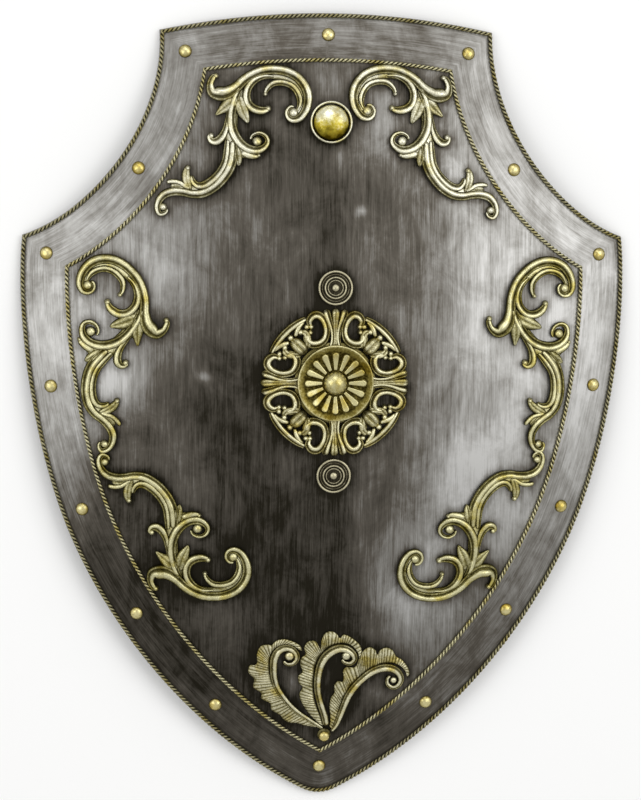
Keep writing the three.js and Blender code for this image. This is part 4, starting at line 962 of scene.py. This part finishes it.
# The back was washed evenly and never wiped. Its rings come first, and its middle is next to last
wash[: backs * len(edge_loop)] = wash[-2] = 0.62
store = sheet.data.attributes.new("wash", "FLOAT", "POINT")
store.data.foreach_set("value", np.clip(wash, 0, 1).astype(np.float32))

# The setting
# A pale floor, a pale room and three wide soft lamps, right, left and past the top edge, and a camera
# that looks down at the angle of the photograph: 6 degrees from the left and 8 from the top edge.

PIXELS_WIDE, PIXELS_HIGH = 641, 800
CAMERA_AWAY = 2600
MM_PER_PIXEL = 0.8402
AIM = np.array([0, 2.85, 7.8])
AIM_PIXEL = (323.2, 406.8)
LEAN_LEFT, LEAN_UP, ROLL = np.radians(6), np.radians(8), 0.0117
SENSOR = 36.0

back = np.array([-np.sin(LEAN_LEFT) * np.cos(LEAN_UP), np.sin(LEAN_UP), np.cos(LEAN_LEFT) * np.cos(LEAN_UP)])
right = np.array([np.cos(LEAN_LEFT), 0, np.sin(LEAN_LEFT)])
up = np.cross(back, right)
right, up = right * np.cos(ROLL) + up * np.sin(ROLL), up * np.cos(ROLL) - right * np.sin(ROLL)
camera_data = bpy.data.cameras.new("camera")
camera_data.sensor_width = SENSOR
camera_data.lens = SENSOR * CAMERA_AWAY / MM_PER_PIXEL / PIXELS_HIGH
camera_data.shift_x = (PIXELS_WIDE / 2 - AIM_PIXEL[0]) / PIXELS_HIGH
camera_data.shift_y = (AIM_PIXEL[1] - PIXELS_HIGH / 2) / PIXELS_HIGH
camera_data.clip_end = 50
camera = bpy.data.objects.new("camera", camera_data)
pose = Matrix.Identity(4)
for column, axis in enumerate((right, up, back)):
    pose.col[column][:3] = axis
pose.col[3][:3] = (AIM + CAMERA_AWAY * back) * MM
camera.matrix_world = pose
bpy.context.scene.collection.objects.link(camera)
bpy.context.scene.camera = camera

floor_mesh = bpy.data.meshes.new("floor")
floor_mesh.from_pydata([(-6, -6, 0), (6, -6, 0), (6, 6, 0), (-6, 6, 0)], [], [(0, 1, 2, 3)])
floor_material, floor_tree, floor_shader = new_material("white_paper")
floor_shader.inputs["Base Color"].default_value = linear("#fbfbfa")
floor_shader.inputs["Roughness"].default_value = 0.9
floor_mesh.materials.append(floor_material)
floor = bpy.data.objects.new("floor", floor_mesh)
bpy.context.scene.collection.objects.link(floor)


def softbox(name, place, size, power):
    """A square lamp of that size in metres at a place, turned to the shield's middle."""
    light = bpy.data.lights.new(name, "AREA")
    light.size = size
    light.energy = power
    lamp = bpy.data.objects.new(name, light)
    lamp.location = place
    lamp.rotation_euler = Vector(place).to_track_quat("Z", "Y").to_euler()
    bpy.context.scene.collection.objects.link(lamp)


softbox("right_softbox", (2.0, 0.8, 2.6), 2.3, 34)
softbox("left_softbox", (-2.2, 0.3, 2.3), 2.0, 22)
softbox("top_softbox", (-0.2, 2.6, 2.3), 1.6, 20)
world = bpy.data.worlds.new("pale_room")
world.use_nodes = True
world.node_tree.nodes["Background"].inputs["Color"].default_value = linear("#f2f2f2")
world.node_tree.nodes["Background"].inputs["Strength"].default_value = 0.66
bpy.context.scene.world = world
bpy.context.scene.view_settings.view_transform = "Standard"
